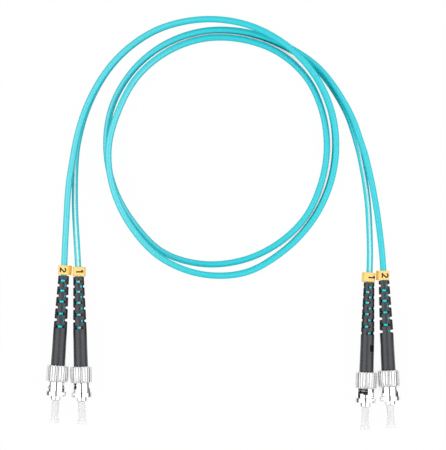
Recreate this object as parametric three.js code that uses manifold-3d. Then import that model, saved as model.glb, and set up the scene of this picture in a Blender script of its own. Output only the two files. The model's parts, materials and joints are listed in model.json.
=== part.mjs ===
// A duplex multimode fibre patch cord with a bayonet plug on each of its four ends.
//
// Millimetres, +Z up, standing on z = 0. The origin is on the table in the middle of the four plugs,
// +X runs from the plugs of end A to those of end B, and +Y from the plugs towards the loops of cord.
// The cord stands on edge: cord 2 lies on cord 1, and the two are joined by a thin web.
// On a plug, "along" is measured on its axis from the coupling nut's rear face, forwards positive, and an
// azimuth is measured round that axis from straight up towards +X.

import * as THREE from 'three';
import { mergeVertices } from 'three/addons/utils/BufferGeometryUtils.js';
import Module from 'manifold-3d';

const wasm = await Module();
wasm.setup();

// ------------------------------------------------------------------ clearances

const RUNNING_FIT = 0.1; // radial, between pieces that turn or slide on each other
const PRESS_GAP = 0.05; // radial, where a piece is pressed or crimped on another
const SEAT_GAP = 0.15; // along the axis, where a piece rests on another
const BUTT_GAP = 0.3; // between cord ends that meet

// ------------------------------------------------------------------ cord

const CORD_DIAMETER = 2.8;
const CORD_SIDES = 8;
const WEB_HEIGHT = 0.1; // between the two round cords
const WEB_WIDTH = 0.7;
const BUFFER_DIAMETER = 0.9;
const LEG_STEPS = 10;
const LOOP_STEPS = 24; // steps of the duplex stretch for each turn

// ------------------------------------------------------------------ coupling nut

const NUT_DIAMETER = 9.6; // over the knurl's ridges
const KNURL_RIDGES = 20;
const KNURL_DEPTH = 0.36;
const KNURL_LENGTH = 7.5;
const NUT_BORE = 7.0;
const SHELL_WALL = 0.38; // of the smooth shell with the bayonet slots
const SHELL_LENGTH = 4.4;
const RIM_DIAMETER = 9.4;
const RIM_THICKNESS = 1.9;
const NUT_WALL = 1.2; // the rear wall that the washer pushes on
const NUT_TRAVEL = 2.5;
const BAYONET_SLOTS = 2;
const SLOT_WIDTH = 2.2;
const SLOT_SWEEP = 54; // degrees from the entry to the detent
const SLOT_TO_KNURL = 0.15;
const GROOVE_DEPTH = 0.75; // of the entry groove inside the rim
const DETENT_STEP = 0.5; // how far the detent reaches forwards

// ------------------------------------------------------------------ plug body, clip, washer and spring

const NOSE_DIAMETER = 4.95;
const NOSE_PROUD = 1.8; // in front of the nut
const KEY_WIDTH = 1.2;
const KEY_HEIGHT = 0.5;
const KEY_LENGTH = 3.0;
const KEY_SET_BACK = 2.4; // behind the nose's front face
const FLANGE_THICKNESS = 1.0;
const BARREL_SET_BACK = 0.2; // of the barrel's rear face in front of the nut's rear face
const CLIP_LIP = 0.35; // behind the clip
const CLIP_THICKNESS = 0.6;
const CLIP_GROOVE_DEPTH = 0.4;
const CLIP_WIDTH = 1.15; // of the ring, seen from the front
const CLIP_PLAY = 0.15; // radial, in the nut's recess
const CLIP_OPENING = 70; // degrees
const WASHER_THICKNESS = 0.4;
const WASHER_WIDTH = 0.75;
const SPRING_WIRE = 0.45;
const SPRING_TURNS = 5.5;
const SPRING_SPARE = 0.3; // left between the coils when the nut is all the way forward
const CURL_STEPS = 8;
const CURL_SIDES = 5;

// ------------------------------------------------------------------ ferrule and dust cap

const FERRULE_DIAMETER = 2.5;
const FERRULE_LENGTH = 12.6;
const FERRULE_REACH = 7.3; // in front of the nose
const FERRULE_CHAMFER = 0.3;
const CAP_DIAMETER = 3.4;
const CAP_LENGTH = 10.25;
const CAP_FLANGE_DIAMETER = 4.4;
const CAP_FLANGE_LENGTH = 1.6;
const CAP_END_WALL = 2.6;
const CAP_MOUTH_WALL = 0.22;
const CAP_MOUTH_DEPTH = 0.6;

// ------------------------------------------------------------------ crimp

const STUB_DIAMETER = 3.2;
const STUB_LENGTH = 8.3;
const STUB_WALL = 0.9;
const YARN_THICKNESS = 0.35;
const YARN_SHORT = 0.8; // the yarn stops this far from each end of the stub
const SLEEVE_WALL = 0.3;
const SLEEVE_OVERHANG = 0.5; // of the sleeve's wide part behind the stub
const NECK_LENGTH = 3.4; // of the sleeve's narrow part, on the cord

// ------------------------------------------------------------------ boot

const BOOT_LENGTH = 40.3;
const BOOT_BASE_DIAMETER = 6.46;
const BOOT_SHOULDER_DIAMETER = 6.12; // where the slots begin
const BOOT_TIP_DIAMETER = 4.8;
const BOOT_BORE_GAP = 0.3; // round the cord
const BOOT_SLOTS = 9;
const BOOT_BRIDGE = 2.3; // the width of rubber left between the two slots of a pair
const BOOT_SLOT_HEIGHT = 1.25;
const BOOT_FIRST_SLOT = 2.2; // from the tip
const BOOT_SLOT_PITCH = 2.2; // from the first slot to the second
const BOOT_PITCH_GROWTH = 0.11; // from one slot's pitch to the next
const BOOT_SHOULDER = 24.2; // from the tip
const POCKET_WIDTH = 2.8;
const POCKET_LENGTH = 2.9;
const POCKET_DEPTH = 0.7;
const POCKET_FROM_NUT = 10.7;

// ------------------------------------------------------------------ number ring

const MARKER_WIDTH = 5.4;
const MARKER_THICKNESS = 4.0;
const MARKER_LENGTH = 4.2;
const MARKER_CORNER = 0.8;
const MARKER_SIDE_PLAY = 1.6; // the hole's width over the cord's
const MARKER_PLAY = 0.3; // the hole's height over the cord's

const ROUND = 16; // sides of the nut, body and washer
const SMALL_ROUND = 12; // sides of the boot, ferrule, cap, sleeve and yarn
const FACET_STEP = 30; // degrees, of a sector's edge

// ------------------------------------------------------------------ where the plugs and the cord lie

// Each plug: the nut's rear face on the axis, how far the axis turns from -Y towards +X, the azimuths of
// the boot's pocket, the nut's slot entry and the number ring's face, and the number ring's place: its
// gap to the boot's tip, how far it hangs to +X in its play and the degrees that it sits askew, clockwise.
const AXIS_HEIGHT = NUT_DIAMETER / 2;
const PLUGS = [
  {
    name: 'a2', cord: 2, at: [-74.28, -8.15], turn: -3.72,
    boot: 167, nut: 61, ring: -25, gap: 0.5, hang: 0.5, askew: 1.5,
  },
  {
    name: 'a1', cord: 1, at: [-63.96, -8.69], turn: 1.46,
    boot: 158, nut: -101, ring: -8, gap: 0.45, hang: 0.4, askew: 3.5,
  },
  {
    name: 'b1', cord: 1, at: [64.55, -11.2], turn: -1.72,
    boot: 50, nut: -57, ring: 24, gap: 0.4, hang: -0.45, askew: 2.5,
  },
  {
    name: 'b2', cord: 2, at: [74.45, -10.35], turn: 2.87,
    boot: -105, nut: -112, ring: 16, gap: 0.45, hang: -0.4, askew: 4.5,
  },
];

// The duplex stretch, about the middle of the loops: angle from +X, radius, height of the web, and how far
// the stack leans outwards. It runs from the second row, the split at end A, to the last but one, the split
// at end B. The first and last rows lie between the legs and only steer its ends.
const LOOP_CENTRE = [0, 89.55];
const ROUTE = [
  [200, 72.8, 3.1, 30],
  [180, 66.33, 2.77, 20],
  [160, 63.61, 2.82, 11],
  [140, 62.39, 2.89, 4],
  [120, 61.02, 3.5, 2],
  [100, 58.68, 6.2, 0],
  [80, 56.48, 8.95, 0],
  [60, 54.36, 9.1, 0],
  [40, 52.72, 8.9, 2],
  [20, 51.48, 6.3, 6],
  [0, 50.78, 3.6, 7],
  [-20, 50.85, 2.92, 6],
  [-40, 51.86, 2.9, 4],
  [-60, 53.78, 3.7, 3],
  [-80, 56.93, 6.2, 2],
  [-100, 57.56, 8.7, 0],
  [-120, 56.7, 9.1, 0],
  [-140, 54.27, 9.1, 0],
  [-160, 52.61, 9.1, 0],
  [-180, 51.39, 9.1, 0],
  [-200, 49.8, 8.9, 0],
  [-220, 50.1, 6.4, 0],
  [-240, 50.1, 3.7, 0],
  [-260, 50.05, 2.91, 0],
  [-280, 49.7, 2.85, 0],
  [-300, 49.77, 2.85, 0],
  [-320, 49.2, 2.85, 0],
  [-340, 47.62, 2.85, 0],
  [-360, 46.8, 2.85, 0],
  [-380, 46.98, 2.85, 0],
  [-400, 48.46, 2.85, 0],
  [-420, 49.64, 2.85, 0],
  [-440, 51.26, 2.85, 0],
  [-460, 53.03, 2.85, 0],
  [-480, 54.14, 2.85, 0],
  [-500, 52.47, 2.85, 0],
  [-520, 52.2, 2.85, 0],
  [-540, 52.56, 2.85, 0],
  [-560, 53.33, 2.85, 0],
  [-580, 53.55, 2.85, 0],
  [-600, 53.6, 2.85, 0],
  [-620, 53.46, 2.85, 0],
  [-640, 53.15, 2.85, 4],
  [-660, 53.69, 2.82, 12],
  [-680, 55.85, 2.8, 15],
  [-700, 57.87, 2.74, 23],
  [-716, 60.84, 2.55, 38],
  [-736, 68.8, 2.7, 42],
];

// Each leg, from the split to the start of its straight run into the boot.
const LEGS = {
  a2: [
    [-67.73, 84.15, 4.2], [-69.08, 76.05, 4.22], [-69.82, 68.85, 4.26], [-70.25, 61.65, 4.33],
    [-70.63, 54.45, 4.42], [-71.01, 47.25, 4.54], [-71.17, 43.65, 4.6],
  ],
  a1: [
    [-66.38, 83.7, 1.42], [-66.71, 76.05, 1.45], [-66.78, 68.85, 1.75], [-66.67, 61.65, 2.3],
    [-66.29, 54.45, 3.1], [-65.85, 47.25, 3.85], [-65.61, 43.65, 4.15],
  ],
  b1: [
    [61.65, 86.85, 1.4], [63.14, 79.43, 1.42], [64.17, 73.35, 1.52], [65.07, 66.6, 1.85],
    [65.61, 59.85, 2.45], [65.95, 52.65, 3.2], [66.11, 45.9, 3.95], [66.15, 40.95, 4.3],
  ],
  b2: [
    [63.95, 86.85, 3.62], [65.77, 79.5, 3.65], [67.14, 73.13, 3.75], [68.36, 66.6, 3.9],
    [69.48, 59.85, 4.1], [70.43, 52.65, 4.3], [71.24, 45.9, 4.5], [71.73, 40.95, 4.6],
  ],
};

// ------------------------------------------------------------------ stations worked out from the sizes

const UP = new THREE.Vector3(0, 0, 1);
const CORD_RADIUS = CORD_DIAMETER / 2;
const STACK_PITCH = CORD_DIAMETER + WEB_HEIGHT; // from one cord's middle to the other's
const BORE_RADIUS = NUT_BORE / 2;
const FACET = Math.cos(Math.PI / ROUND); // how far a round hole's flats come in
const SMALL_FACET = Math.cos(Math.PI / SMALL_ROUND);
const CURL_FACET = Math.cos(Math.PI / CURL_STEPS);

const SPRING_RADIUS = BORE_RADIUS * FACET - RUNNING_FIT - SPRING_WIRE / 2;
const BARREL_RADIUS = SPRING_RADIUS * CURL_FACET - SPRING_WIRE / 2 - RUNNING_FIT;
const FLANGE_RADIUS = BORE_RADIUS * FACET - RUNNING_FIT;
const WALL_HOLE_RADIUS = (BARREL_RADIUS + RUNNING_FIT) / FACET;
const CLIP_INNER = (BARREL_RADIUS - CLIP_GROOVE_DEPTH + PRESS_GAP) / SMALL_FACET;
const CLIP_OUTER = CLIP_INNER + CLIP_WIDTH;
const RECESS_RADIUS = (CLIP_OUTER + CLIP_PLAY) / FACET;
const SHELL_RADIUS = BORE_RADIUS + SHELL_WALL;

const CLIP_REAR = BARREL_SET_BACK + CLIP_LIP;
const CLIP_FRONT = CLIP_REAR + CLIP_THICKNESS;
const WALL_REAR = CLIP_FRONT + SEAT_GAP;
const WALL_FRONT = WALL_REAR + NUT_WALL;
const WASHER_REAR = WALL_FRONT + SEAT_GAP;
const WASHER_FRONT = WASHER_REAR + WASHER_THICKNESS;
const SPRING_REAR = WASHER_FRONT + SEAT_GAP;
const SPRING_LENGTH = (SPRING_TURNS + 1) * SPRING_WIRE + NUT_TRAVEL + SPRING_SPARE;
const FLANGE_REAR = SPRING_REAR + SPRING_LENGTH + SEAT_GAP;
const FLANGE_FRONT = FLANGE_REAR + FLANGE_THICKNESS;
const SHELL_FRONT = KNURL_LENGTH + SHELL_LENGTH;
const NUT_FRONT = SHELL_FRONT + RIM_THICKNESS;
const NOSE_FRONT = NUT_FRONT + NOSE_PROUD;
const FERRULE_TIP = NOSE_FRONT + FERRULE_REACH;
const FERRULE_REAR = FERRULE_TIP - FERRULE_LENGTH;
const FERRULE_SEAT = FERRULE_REAR - SEAT_GAP;

const STUB_REAR = BARREL_SET_BACK - STUB_LENGTH;
const SLEEVE_FRONT = BARREL_SET_BACK - SEAT_GAP;
const SLEEVE_STEP = STUB_REAR - SLEEVE_OVERHANG;
const SLEEVE_REAR = SLEEVE_STEP - NECK_LENGTH;
const CORD_END = SLEEVE_STEP - BUTT_GAP;
const YARN_INNER = STUB_DIAMETER / 2 + PRESS_GAP;
const YARN_OUTER = YARN_INNER + YARN_THICKNESS;
const SLEEVE_INNER = (YARN_OUTER + PRESS_GAP) / SMALL_FACET;
const SLEEVE_OUTER = SLEEVE_INNER + SLEEVE_WALL;
const NECK_INNER = (CORD_RADIUS + PRESS_GAP) / SMALL_FACET;
const NECK_OUTER = NECK_INNER + SLEEVE_WALL;
const BOOT_BORE_RADIUS = CORD_RADIUS + BOOT_BORE_GAP;

// ------------------------------------------------------------------ shapes

/** The plain, merged form of a geometry: positions and triangles only. */
function welded(geometry) {
  const plain = geometry.clone();
  plain.deleteAttribute('normal');
  plain.deleteAttribute('uv');
  const merged = mergeVertices(plain, 1e-4);
  const kept = [];
  const index = merged.index.array;
  for (let i = 0; i < index.length; i += 3) {
    const [a, b, c] = [index[i], index[i + 1], index[i + 2]];
    if (a !== b && b !== c && c !== a) {
      kept.push(a, b, c);
    }
  }
  merged.setIndex(kept);
  return merged;
}

/** A solid that can be joined and cut. */
function solid(geometry) {
  const merged = welded(geometry);
  return new wasm.Manifold(new wasm.Mesh({
    numProp: 3,
    vertProperties: new Float32Array(merged.attributes.position.array),
    triVerts: new Uint32Array(merged.index.array),
  }));
}

/** The geometry of a joined or cut solid. */
function geometryOf(body) {
  const mesh = body.getMesh();
  const geometry = new THREE.BufferGeometry();
  geometry.setAttribute('position', new THREE.BufferAttribute(mesh.vertProperties, 3));
  geometry.setIndex(new THREE.BufferAttribute(mesh.triVerts, 1));
  geometry.computeVertexNormals();
  return geometry;
}

/** A body of revolution about the plug's axis, from [radius, along] points that run forwards outside. */
function turned(profile, sides) {
  const points = profile.map(([radius, along]) => new THREE.Vector2(radius, along));
  return new THREE.LatheGeometry(points, sides);
}

/** A turned ring or tube: its profile goes round and closes on itself. */
function turnedRing(profile, sides) {
  return turned([...profile, profile[0]], sides);
}

/** The place, across a plug's axis, of a radius at an azimuth. */
function across(radius, azimuth) {
  const angle = THREE.MathUtils.degToRad(azimuth);
  return [-radius * Math.sin(angle), radius * Math.cos(angle)];
}

/** An outline across the plug's axis, run along it. */
function prism(outline, from, to) {
  const shape = new THREE.Shape(outline.map(([x, z]) => new THREE.Vector2(x, -z)));
  const geometry = new THREE.ExtrudeGeometry(shape, { depth: to - from, bevelEnabled: false });
  return geometry.rotateX(-Math.PI / 2).translate(0, from, 0);
}

/** A sector between two radii and two azimuths, run along the plug's axis. */
function sector(inner, outer, start, end, from, to) {
  const steps = Math.max(2, Math.ceil(Math.abs(end - start) / FACET_STEP));
  const rim = Array.from({ length: steps + 1 }, (_, i) => start + ((end - start) * i) / steps);
  const outline = [
    ...rim.map((azimuth) => across(outer, azimuth)),
    ...rim.reverse().map((azimuth) => across(inner, azimuth)),
  ];
  return prism(outline, from, to);
}

/** A block on the plug's axis, turned to an azimuth and moved out along it. */
function block(width, length, height, along, out, azimuth) {
  const geometry = new THREE.BoxGeometry(width, length, height);
  return geometry.translate(0, along, out).rotateY(-THREE.MathUtils.degToRad(azimuth));
}

/** A closed skin through rings of as many points each, with its ends filled in by the flat outline. */
function loft(rings, outline) {
  const sides = outline.length;
  const positions = rings.flat().flatMap((point) => [point.x, point.y, point.z]);
  const index = [];
  for (let ring = 0; ring + 1 < rings.length; ring += 1) {
    for (let side = 0; side < sides; side += 1) {
      const next = (side + 1) % sides;
      const [a, b] = [ring * sides + side, ring * sides + next];
      index.push(a, b, b + sides, a, b + sides, a + sides);
    }
  }
  const last = (rings.length - 1) * sides;
  for (const [a, b, c] of THREE.ShapeUtils.triangulateShape(outline, [])) {
    index.push(a, c, b, last + a, last + b, last + c);
  }
  const geometry = new THREE.BufferGeometry();
  geometry.setAttribute('position', new THREE.Float32BufferAttribute(positions, 3));
  geometry.setIndex(index);
  geometry.computeVertexNormals();
  return geometry;
}

// ------------------------------------------------------------------ finishes

const FINISHES = {
  jacket: { color: 0x41d4de, roughness: 0.45, metalness: 0 },
  nickel: { color: 0xe4e4e2, roughness: 0.2, metalness: 1 },
  zirconia: { color: 0xf4f2ea, roughness: 0.25, metalness: 0 },
  rubber: { color: 0x303236, roughness: 0.6, metalness: 0 },
  cap: { color: 0xf3f3f1, roughness: 0.35, metalness: 0 },
  marker: { color: 0xf7c24a, roughness: 0.45, metalness: 0 },
  spring: { color: 0xb9bbbd, roughness: 0.3, metalness: 1 },
  yarn: { color: 0xd9b35c, roughness: 0.9, metalness: 0 },
  buffer: { color: 0xeef4f4, roughness: 0.5, metalness: 0 },
};

/** A named sub-part with a material of its own. */
function part(name, geometry, finish) {
  const mesh = new THREE.Mesh(geometry, new THREE.MeshStandardMaterial(FINISHES[finish]));
  mesh.name = name;
  return mesh;
}

// ------------------------------------------------------------------ pieces of a plug

/** The coupling nut: knurled sleeve, smooth shell with two bayonet slots, and front rim. */
function couplingNut() {
  const outline = [];
  const pitch = 360 / KNURL_RIDGES;
  const crest = NUT_DIAMETER / 2;
  for (let ridge = 0; ridge < KNURL_RIDGES; ridge += 1) {
    outline.push(across(crest - KNURL_DEPTH, ridge * pitch));
    outline.push(across(crest, (ridge + 0.3) * pitch));
    outline.push(across(crest, (ridge + 0.7) * pitch));
  }
  let nut = solid(prism(outline, 0, KNURL_LENGTH));
  const front = turned([
    [0, WALL_REAR], [SHELL_RADIUS, WALL_REAR], [SHELL_RADIUS, SHELL_FRONT],
    [RIM_DIAMETER / 2, SHELL_FRONT], [RIM_DIAMETER / 2, NUT_FRONT], [0, NUT_FRONT],
  ], ROUND);
  const bore = turned([
    [0, -1], [RECESS_RADIUS, -1], [RECESS_RADIUS, WALL_REAR], [WALL_HOLE_RADIUS, WALL_REAR],
    [WALL_HOLE_RADIUS, WALL_FRONT], [BORE_RADIUS, WALL_FRONT], [BORE_RADIUS, NUT_FRONT + 1],
    [0, NUT_FRONT + 1],
  ], ROUND);
  nut = nut.add(solid(front)).subtract(solid(bore));

  const slotRear = KNURL_LENGTH + SLOT_TO_KNURL;
  const slotFront = slotRear + SLOT_WIDTH;
  const halfWidth = THREE.MathUtils.radToDeg(SLOT_WIDTH / 2 / SHELL_RADIUS);
  const inside = BORE_RADIUS * 0.7;
  const outside = SHELL_RADIUS + 0.2;
  for (let slot = 0; slot < BAYONET_SLOTS; slot += 1) {
    const entry = (slot * 360) / BAYONET_SLOTS;
    const detent = entry + SLOT_SWEEP;
    // Round the shell, forwards to the rim, as a groove inside the rim, and the detent.
    const cuts = [
      sector(inside, outside, entry - halfWidth, detent + halfWidth, slotRear, slotFront),
      sector(inside, outside, entry - halfWidth, entry + halfWidth, slotRear, SHELL_FRONT),
      sector(inside, BORE_RADIUS + GROOVE_DEPTH, entry - halfWidth, entry + halfWidth, slotRear,
        NUT_FRONT + 1),
      sector(inside, outside, detent - halfWidth, detent + halfWidth, slotRear,
        slotFront + DETENT_STEP),
    ];
    for (const cut of cuts) {
      nut = nut.subtract(solid(cut));
    }
  }
  return geometryOf(nut);
}

/** The plug body: nose with its key, flange, barrel with the clip groove, and crimp stub. */
function plugBody() {
  const stub = STUB_DIAMETER / 2;
  const groove = BARREL_RADIUS - CLIP_GROOVE_DEPTH;
  const clipRear = CLIP_REAR - PRESS_GAP;
  const clipFront = CLIP_FRONT + PRESS_GAP;
  const nose = NOSE_DIAMETER / 2;
  const passage = stub - STUB_WALL;
  const seat = (FERRULE_DIAMETER / 2 + PRESS_GAP) / FACET;
  const body = turnedRing([
    [passage, STUB_REAR], [stub, STUB_REAR], [stub, BARREL_SET_BACK], [BARREL_RADIUS, BARREL_SET_BACK],
    [BARREL_RADIUS, clipRear], [groove, clipRear], [groove, clipFront], [BARREL_RADIUS, clipFront],
    [BARREL_RADIUS, FLANGE_REAR], [FLANGE_RADIUS, FLANGE_REAR], [FLANGE_RADIUS, FLANGE_FRONT],
    [nose, FLANGE_FRONT], [nose, NOSE_FRONT], [seat, NOSE_FRONT], [seat, FERRULE_SEAT],
    [passage, FERRULE_SEAT],
  ], ROUND);
  const keyFront = NOSE_FRONT - KEY_SET_BACK;
  const keyRoot = nose * FACET - KEY_HEIGHT;
  const keyTop = nose + KEY_HEIGHT;
  const key = block(KEY_WIDTH, KEY_LENGTH, keyTop - keyRoot, keyFront - KEY_LENGTH / 2,
    (keyTop + keyRoot) / 2, 0);
  return geometryOf(solid(body).add(solid(key)));
}

/** The ferrule, chamfered at its tip. */
function ferrule() {
  const radius = FERRULE_DIAMETER / 2;
  return turned([
    [0, FERRULE_REAR], [radius, FERRULE_REAR], [radius, FERRULE_TIP - FERRULE_CHAMFER],
    [radius - FERRULE_CHAMFER, FERRULE_TIP], [0, FERRULE_TIP],
  ], SMALL_ROUND);
}

/** The dust cap: a blind tube over the ferrule, with a flange round its closed end. */
function dustCap() {
  const rear = NOSE_FRONT + SEAT_GAP;
  const front = rear + CAP_LENGTH;
  const flangeRear = front - CAP_FLANGE_LENGTH;
  const bore = (FERRULE_DIAMETER / 2 + RUNNING_FIT) / SMALL_FACET;
  const boreEnd = Math.max(front - CAP_END_WALL, FERRULE_TIP + SEAT_GAP);
  const mouth = CAP_DIAMETER / 2 - CAP_MOUTH_WALL;
  return turned([
    [0, boreEnd], [bore, boreEnd], [bore, rear + CAP_MOUTH_DEPTH], [mouth, rear],
    [CAP_DIAMETER / 2, rear], [CAP_DIAMETER / 2, flangeRear], [CAP_FLANGE_DIAMETER / 2, flangeRear],
    [CAP_FLANGE_DIAMETER / 2, front], [0, front],
  ], SMALL_ROUND);
}

/** The retaining clip: an open ring in the barrel's groove. */
function retainingClip() {
  const opening = CLIP_OPENING / 2;
  return sector(CLIP_INNER, CLIP_OUTER, opening, 360 - opening, CLIP_REAR, CLIP_FRONT);
}

/** The washer between the spring and the nut's rear wall. */
function thrustWasher() {
  const inner = (BARREL_RADIUS + RUNNING_FIT) / FACET;
  const outer = inner + WASHER_WIDTH;
  return turnedRing([
    [inner, WASHER_REAR], [outer, WASHER_REAR], [outer, WASHER_FRONT], [inner, WASHER_FRONT],
  ], ROUND);
}

/** The coupling spring, wound round the barrel. */
function couplingSpring() {
  const wire = SPRING_WIRE / 2;
  const outline = Array.from({ length: CURL_SIDES }, (_, i) => {
    const angle = (i / CURL_SIDES) * 2 * Math.PI;
    return new THREE.Vector2(Math.cos(angle) * wire, Math.sin(angle) * wire);
  });
  const rise = SPRING_LENGTH - SPRING_WIRE;
  const rings = [];
  const count = SPRING_TURNS * CURL_STEPS;
  for (let step = 0; step <= count; step += 1) {
    const angle = (step / CURL_STEPS) * 2 * Math.PI;
    const along = SPRING_REAR + wire + (rise * step) / count;
    rings.push(outline.map((point) => new THREE.Vector3(
      Math.cos(angle) * (SPRING_RADIUS + point.x),
      along + point.y,
      Math.sin(angle) * (SPRING_RADIUS + point.x),
    )));
  }
  return loft(rings, outline);
}

/** The crimp sleeve: wide over the yarn and narrow over the cord's jacket. */
function crimpSleeve() {
  return turnedRing([
    [NECK_INNER, SLEEVE_REAR], [NECK_OUTER, SLEEVE_REAR], [NECK_OUTER, SLEEVE_STEP - SLEEVE_WALL],
    [SLEEVE_OUTER, SLEEVE_STEP - SLEEVE_WALL], [SLEEVE_OUTER, SLEEVE_FRONT],
    [SLEEVE_INNER, SLEEVE_FRONT], [SLEEVE_INNER, SLEEVE_STEP], [NECK_INNER, SLEEVE_STEP],
  ], SMALL_ROUND);
}

/** The aramid yarn, spread over the crimp stub. */
function aramidYarn() {
  const rear = STUB_REAR + YARN_SHORT;
  const front = BARREL_SET_BACK - YARN_SHORT;
  const inner = YARN_INNER / SMALL_FACET;
  return turnedRing([
    [inner, rear], [YARN_OUTER, rear], [YARN_OUTER, front], [inner, front],
  ], SMALL_ROUND);
}

/** The buffered fibre, from the end of the cord's jacket to the ferrule. */
function bufferLead() {
  const radius = BUFFER_DIAMETER / 2;
  return turned([
    [0, SLEEVE_STEP], [radius, SLEEVE_STEP], [radius, FERRULE_SEAT], [0, FERRULE_SEAT],
  ], CORD_SIDES);
}

/** The boot: tapered rubber with slots in two directions by turns, and a moulded pocket. */
function boot() {
  const tip = -BOOT_LENGTH;
  const shoulder = tip + BOOT_SHOULDER;
  const outside = turned([
    [0, tip], [BOOT_TIP_DIAMETER / 2, tip], [BOOT_SHOULDER_DIAMETER / 2, shoulder],
    [BOOT_BASE_DIAMETER / 2, 0], [0, 0],
  ], SMALL_ROUND);
  const wide = (SLEEVE_OUTER + PRESS_GAP) / SMALL_FACET;
  const neck = (NECK_OUTER + PRESS_GAP) / SMALL_FACET;
  const wideEnd = SLEEVE_STEP - SLEEVE_WALL - SEAT_GAP;
  const neckEnd = SLEEVE_REAR - SEAT_GAP;
  const inside = turned([
    [0, tip - 1], [BOOT_BORE_RADIUS, tip - 1], [BOOT_BORE_RADIUS, neckEnd], [neck, neckEnd],
    [neck, wideEnd], [wide, wideEnd], [wide, 1], [0, 1],
  ], SMALL_ROUND);
  let rubber = solid(outside).subtract(solid(inside));
  let along = tip + BOOT_FIRST_SLOT;
  for (let slot = 0; slot < BOOT_SLOTS; slot += 1) {
    const azimuth = slot % 2 === 0 ? 0 : 90;
    for (const side of [-1, 1]) {
      const out = side * (BOOT_BRIDGE + BOOT_BASE_DIAMETER) / 2;
      const cut = block(BOOT_BASE_DIAMETER, BOOT_SLOT_HEIGHT, BOOT_BASE_DIAMETER, along, out, azimuth);
      rubber = rubber.subtract(solid(cut));
    }
    along += BOOT_SLOT_PITCH + BOOT_PITCH_GROWTH * slot;
  }
  const pocketAt = -POCKET_FROM_NUT;
  const surface = THREE.MathUtils.mapLinear(pocketAt, shoulder, 0, BOOT_SHOULDER_DIAMETER / 2,
    BOOT_BASE_DIAMETER / 2);
  const pocket = block(POCKET_WIDTH, POCKET_LENGTH, 2, pocketAt, surface - POCKET_DEPTH + 1, 0);
  return geometryOf(rubber.subtract(solid(pocket)));
}

/** The number ring: a rounded block with an oblong hole for the cord, lying along Y about its middle. */
function idMarker(hang, askew) {
  const outline = roundedRectangle(new THREE.Shape(), MARKER_WIDTH, MARKER_THICKNESS, MARKER_CORNER);
  const holeWidth = CORD_DIAMETER + MARKER_SIDE_PLAY;
  const holeHeight = CORD_DIAMETER + MARKER_PLAY;
  outline.holes.push(roundedRectangle(new THREE.Path(), holeWidth, holeHeight, holeHeight / 2.2));
  const ring = new THREE.ExtrudeGeometry(outline, {
    depth: MARKER_LENGTH,
    bevelEnabled: false,
    curveSegments: 1,
  });
  ring.rotateX(-Math.PI / 2);
  ring.translate(0, -MARKER_LENGTH / 2, 0);
  ring.rotateZ(-THREE.MathUtils.degToRad(askew));
  return ring.translate(-hang, 0, 0);
}

/** Draws a rounded rectangle about the origin. */
function roundedRectangle(path, width, height, radius) {
  const [x, y] = [width / 2, height / 2];
  path.moveTo(-x + radius, -y);
  path.lineTo(x - radius, -y);
  path.absarc(x - radius, -y + radius, radius, -Math.PI / 2, 0);
  path.lineTo(x, y - radius);
  path.absarc(x - radius, y - radius, radius, 0, Math.PI / 2);
  path.lineTo(-x + radius, y);
  path.absarc(-x + radius, y - radius, radius, Math.PI / 2, Math.PI);
  path.lineTo(-x, -y + radius);
  path.absarc(-x + radius, -y + radius, radius, Math.PI, Math.PI * 1.5);
  return path;
}

// ------------------------------------------------------------------ the plugs in place

/** The place on a plug's axis at a distance along it. */
function plugPlace(plug, along) {
  const turn = THREE.MathUtils.degToRad(plug.turn);
  const forward = new THREE.Vector3(Math.sin(turn), -Math.cos(turn), 0);
  return forward.multiplyScalar(along).add(new THREE.Vector3(...plug.at, AXIS_HEIGHT));
}

/** A group on a plug's axis, rolled to an azimuth, with the given parts in it. */
function rolled(azimuth, ...parts) {
  const group = new THREE.Group();
  group.rotation.y = -THREE.MathUtils.degToRad(azimuth);
  group.add(...parts);
  return group;
}

/** All of one plug's pieces, on its axis. */
function plugGroup(plug) {
  const name = (piece) => `${piece}_${plug.name}`;
  const group = new THREE.Group();
  group.position.copy(plugPlace(plug, 0));
  group.rotation.z = Math.PI + THREE.MathUtils.degToRad(plug.turn);
  group.add(
    rolled(plug.nut, part(name('coupling_nut'), couplingNut(), 'nickel')),
    rolled(plug.boot, part(name('boot'), boot(), 'rubber')),
    rolled(180,
      part(name('plug_body'), plugBody(), 'nickel'),
      part(name('retaining_clip'), retainingClip(), 'spring')),
    part(name('ferrule'), ferrule(), 'zirconia'),
    part(name('dust_cap'), dustCap(), 'cap'),
    part(name('thrust_washer'), thrustWasher(), 'nickel'),
    part(name('coupling_spring'), couplingSpring(), 'spring'),
    part(name('crimp_sleeve'), crimpSleeve(), 'nickel'),
    part(name('aramid_yarn'), aramidYarn(), 'yarn'),
    part(name('buffer_lead'), bufferLead(), 'buffer'),
  );
  return group;
}

/** The number ring in place on its leg: its axis is the leg's straight run behind the boot. */
function markerGroup(plug) {
  const tip = plugPlace(plug, -BOOT_LENGTH);
  const run = new THREE.Vector3(...LEGS[plug.name].at(-1)).sub(tip).normalize();
  const side = new THREE.Vector3().crossVectors(UP, run).normalize();
  const up = new THREE.Vector3().crossVectors(run, side);
  const place = tip.addScaledVector(run, plug.gap + MARKER_LENGTH / 2);
  const group = new THREE.Group();
  group.quaternion.setFromRotationMatrix(new THREE.Matrix4().makeBasis(side, run.negate(), up));
  group.position.copy(place);
  const roll = THREE.MathUtils.degToRad(plug.ring);
  const shape = idMarker(plug.hang * Math.cos(roll), plug.askew);
  const ring = part(`id_marker_${plug.name}`, shape, 'marker');
  group.add(rolled(plug.ring, ring));
  return group;
}

// ------------------------------------------------------------------ the cord

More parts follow.
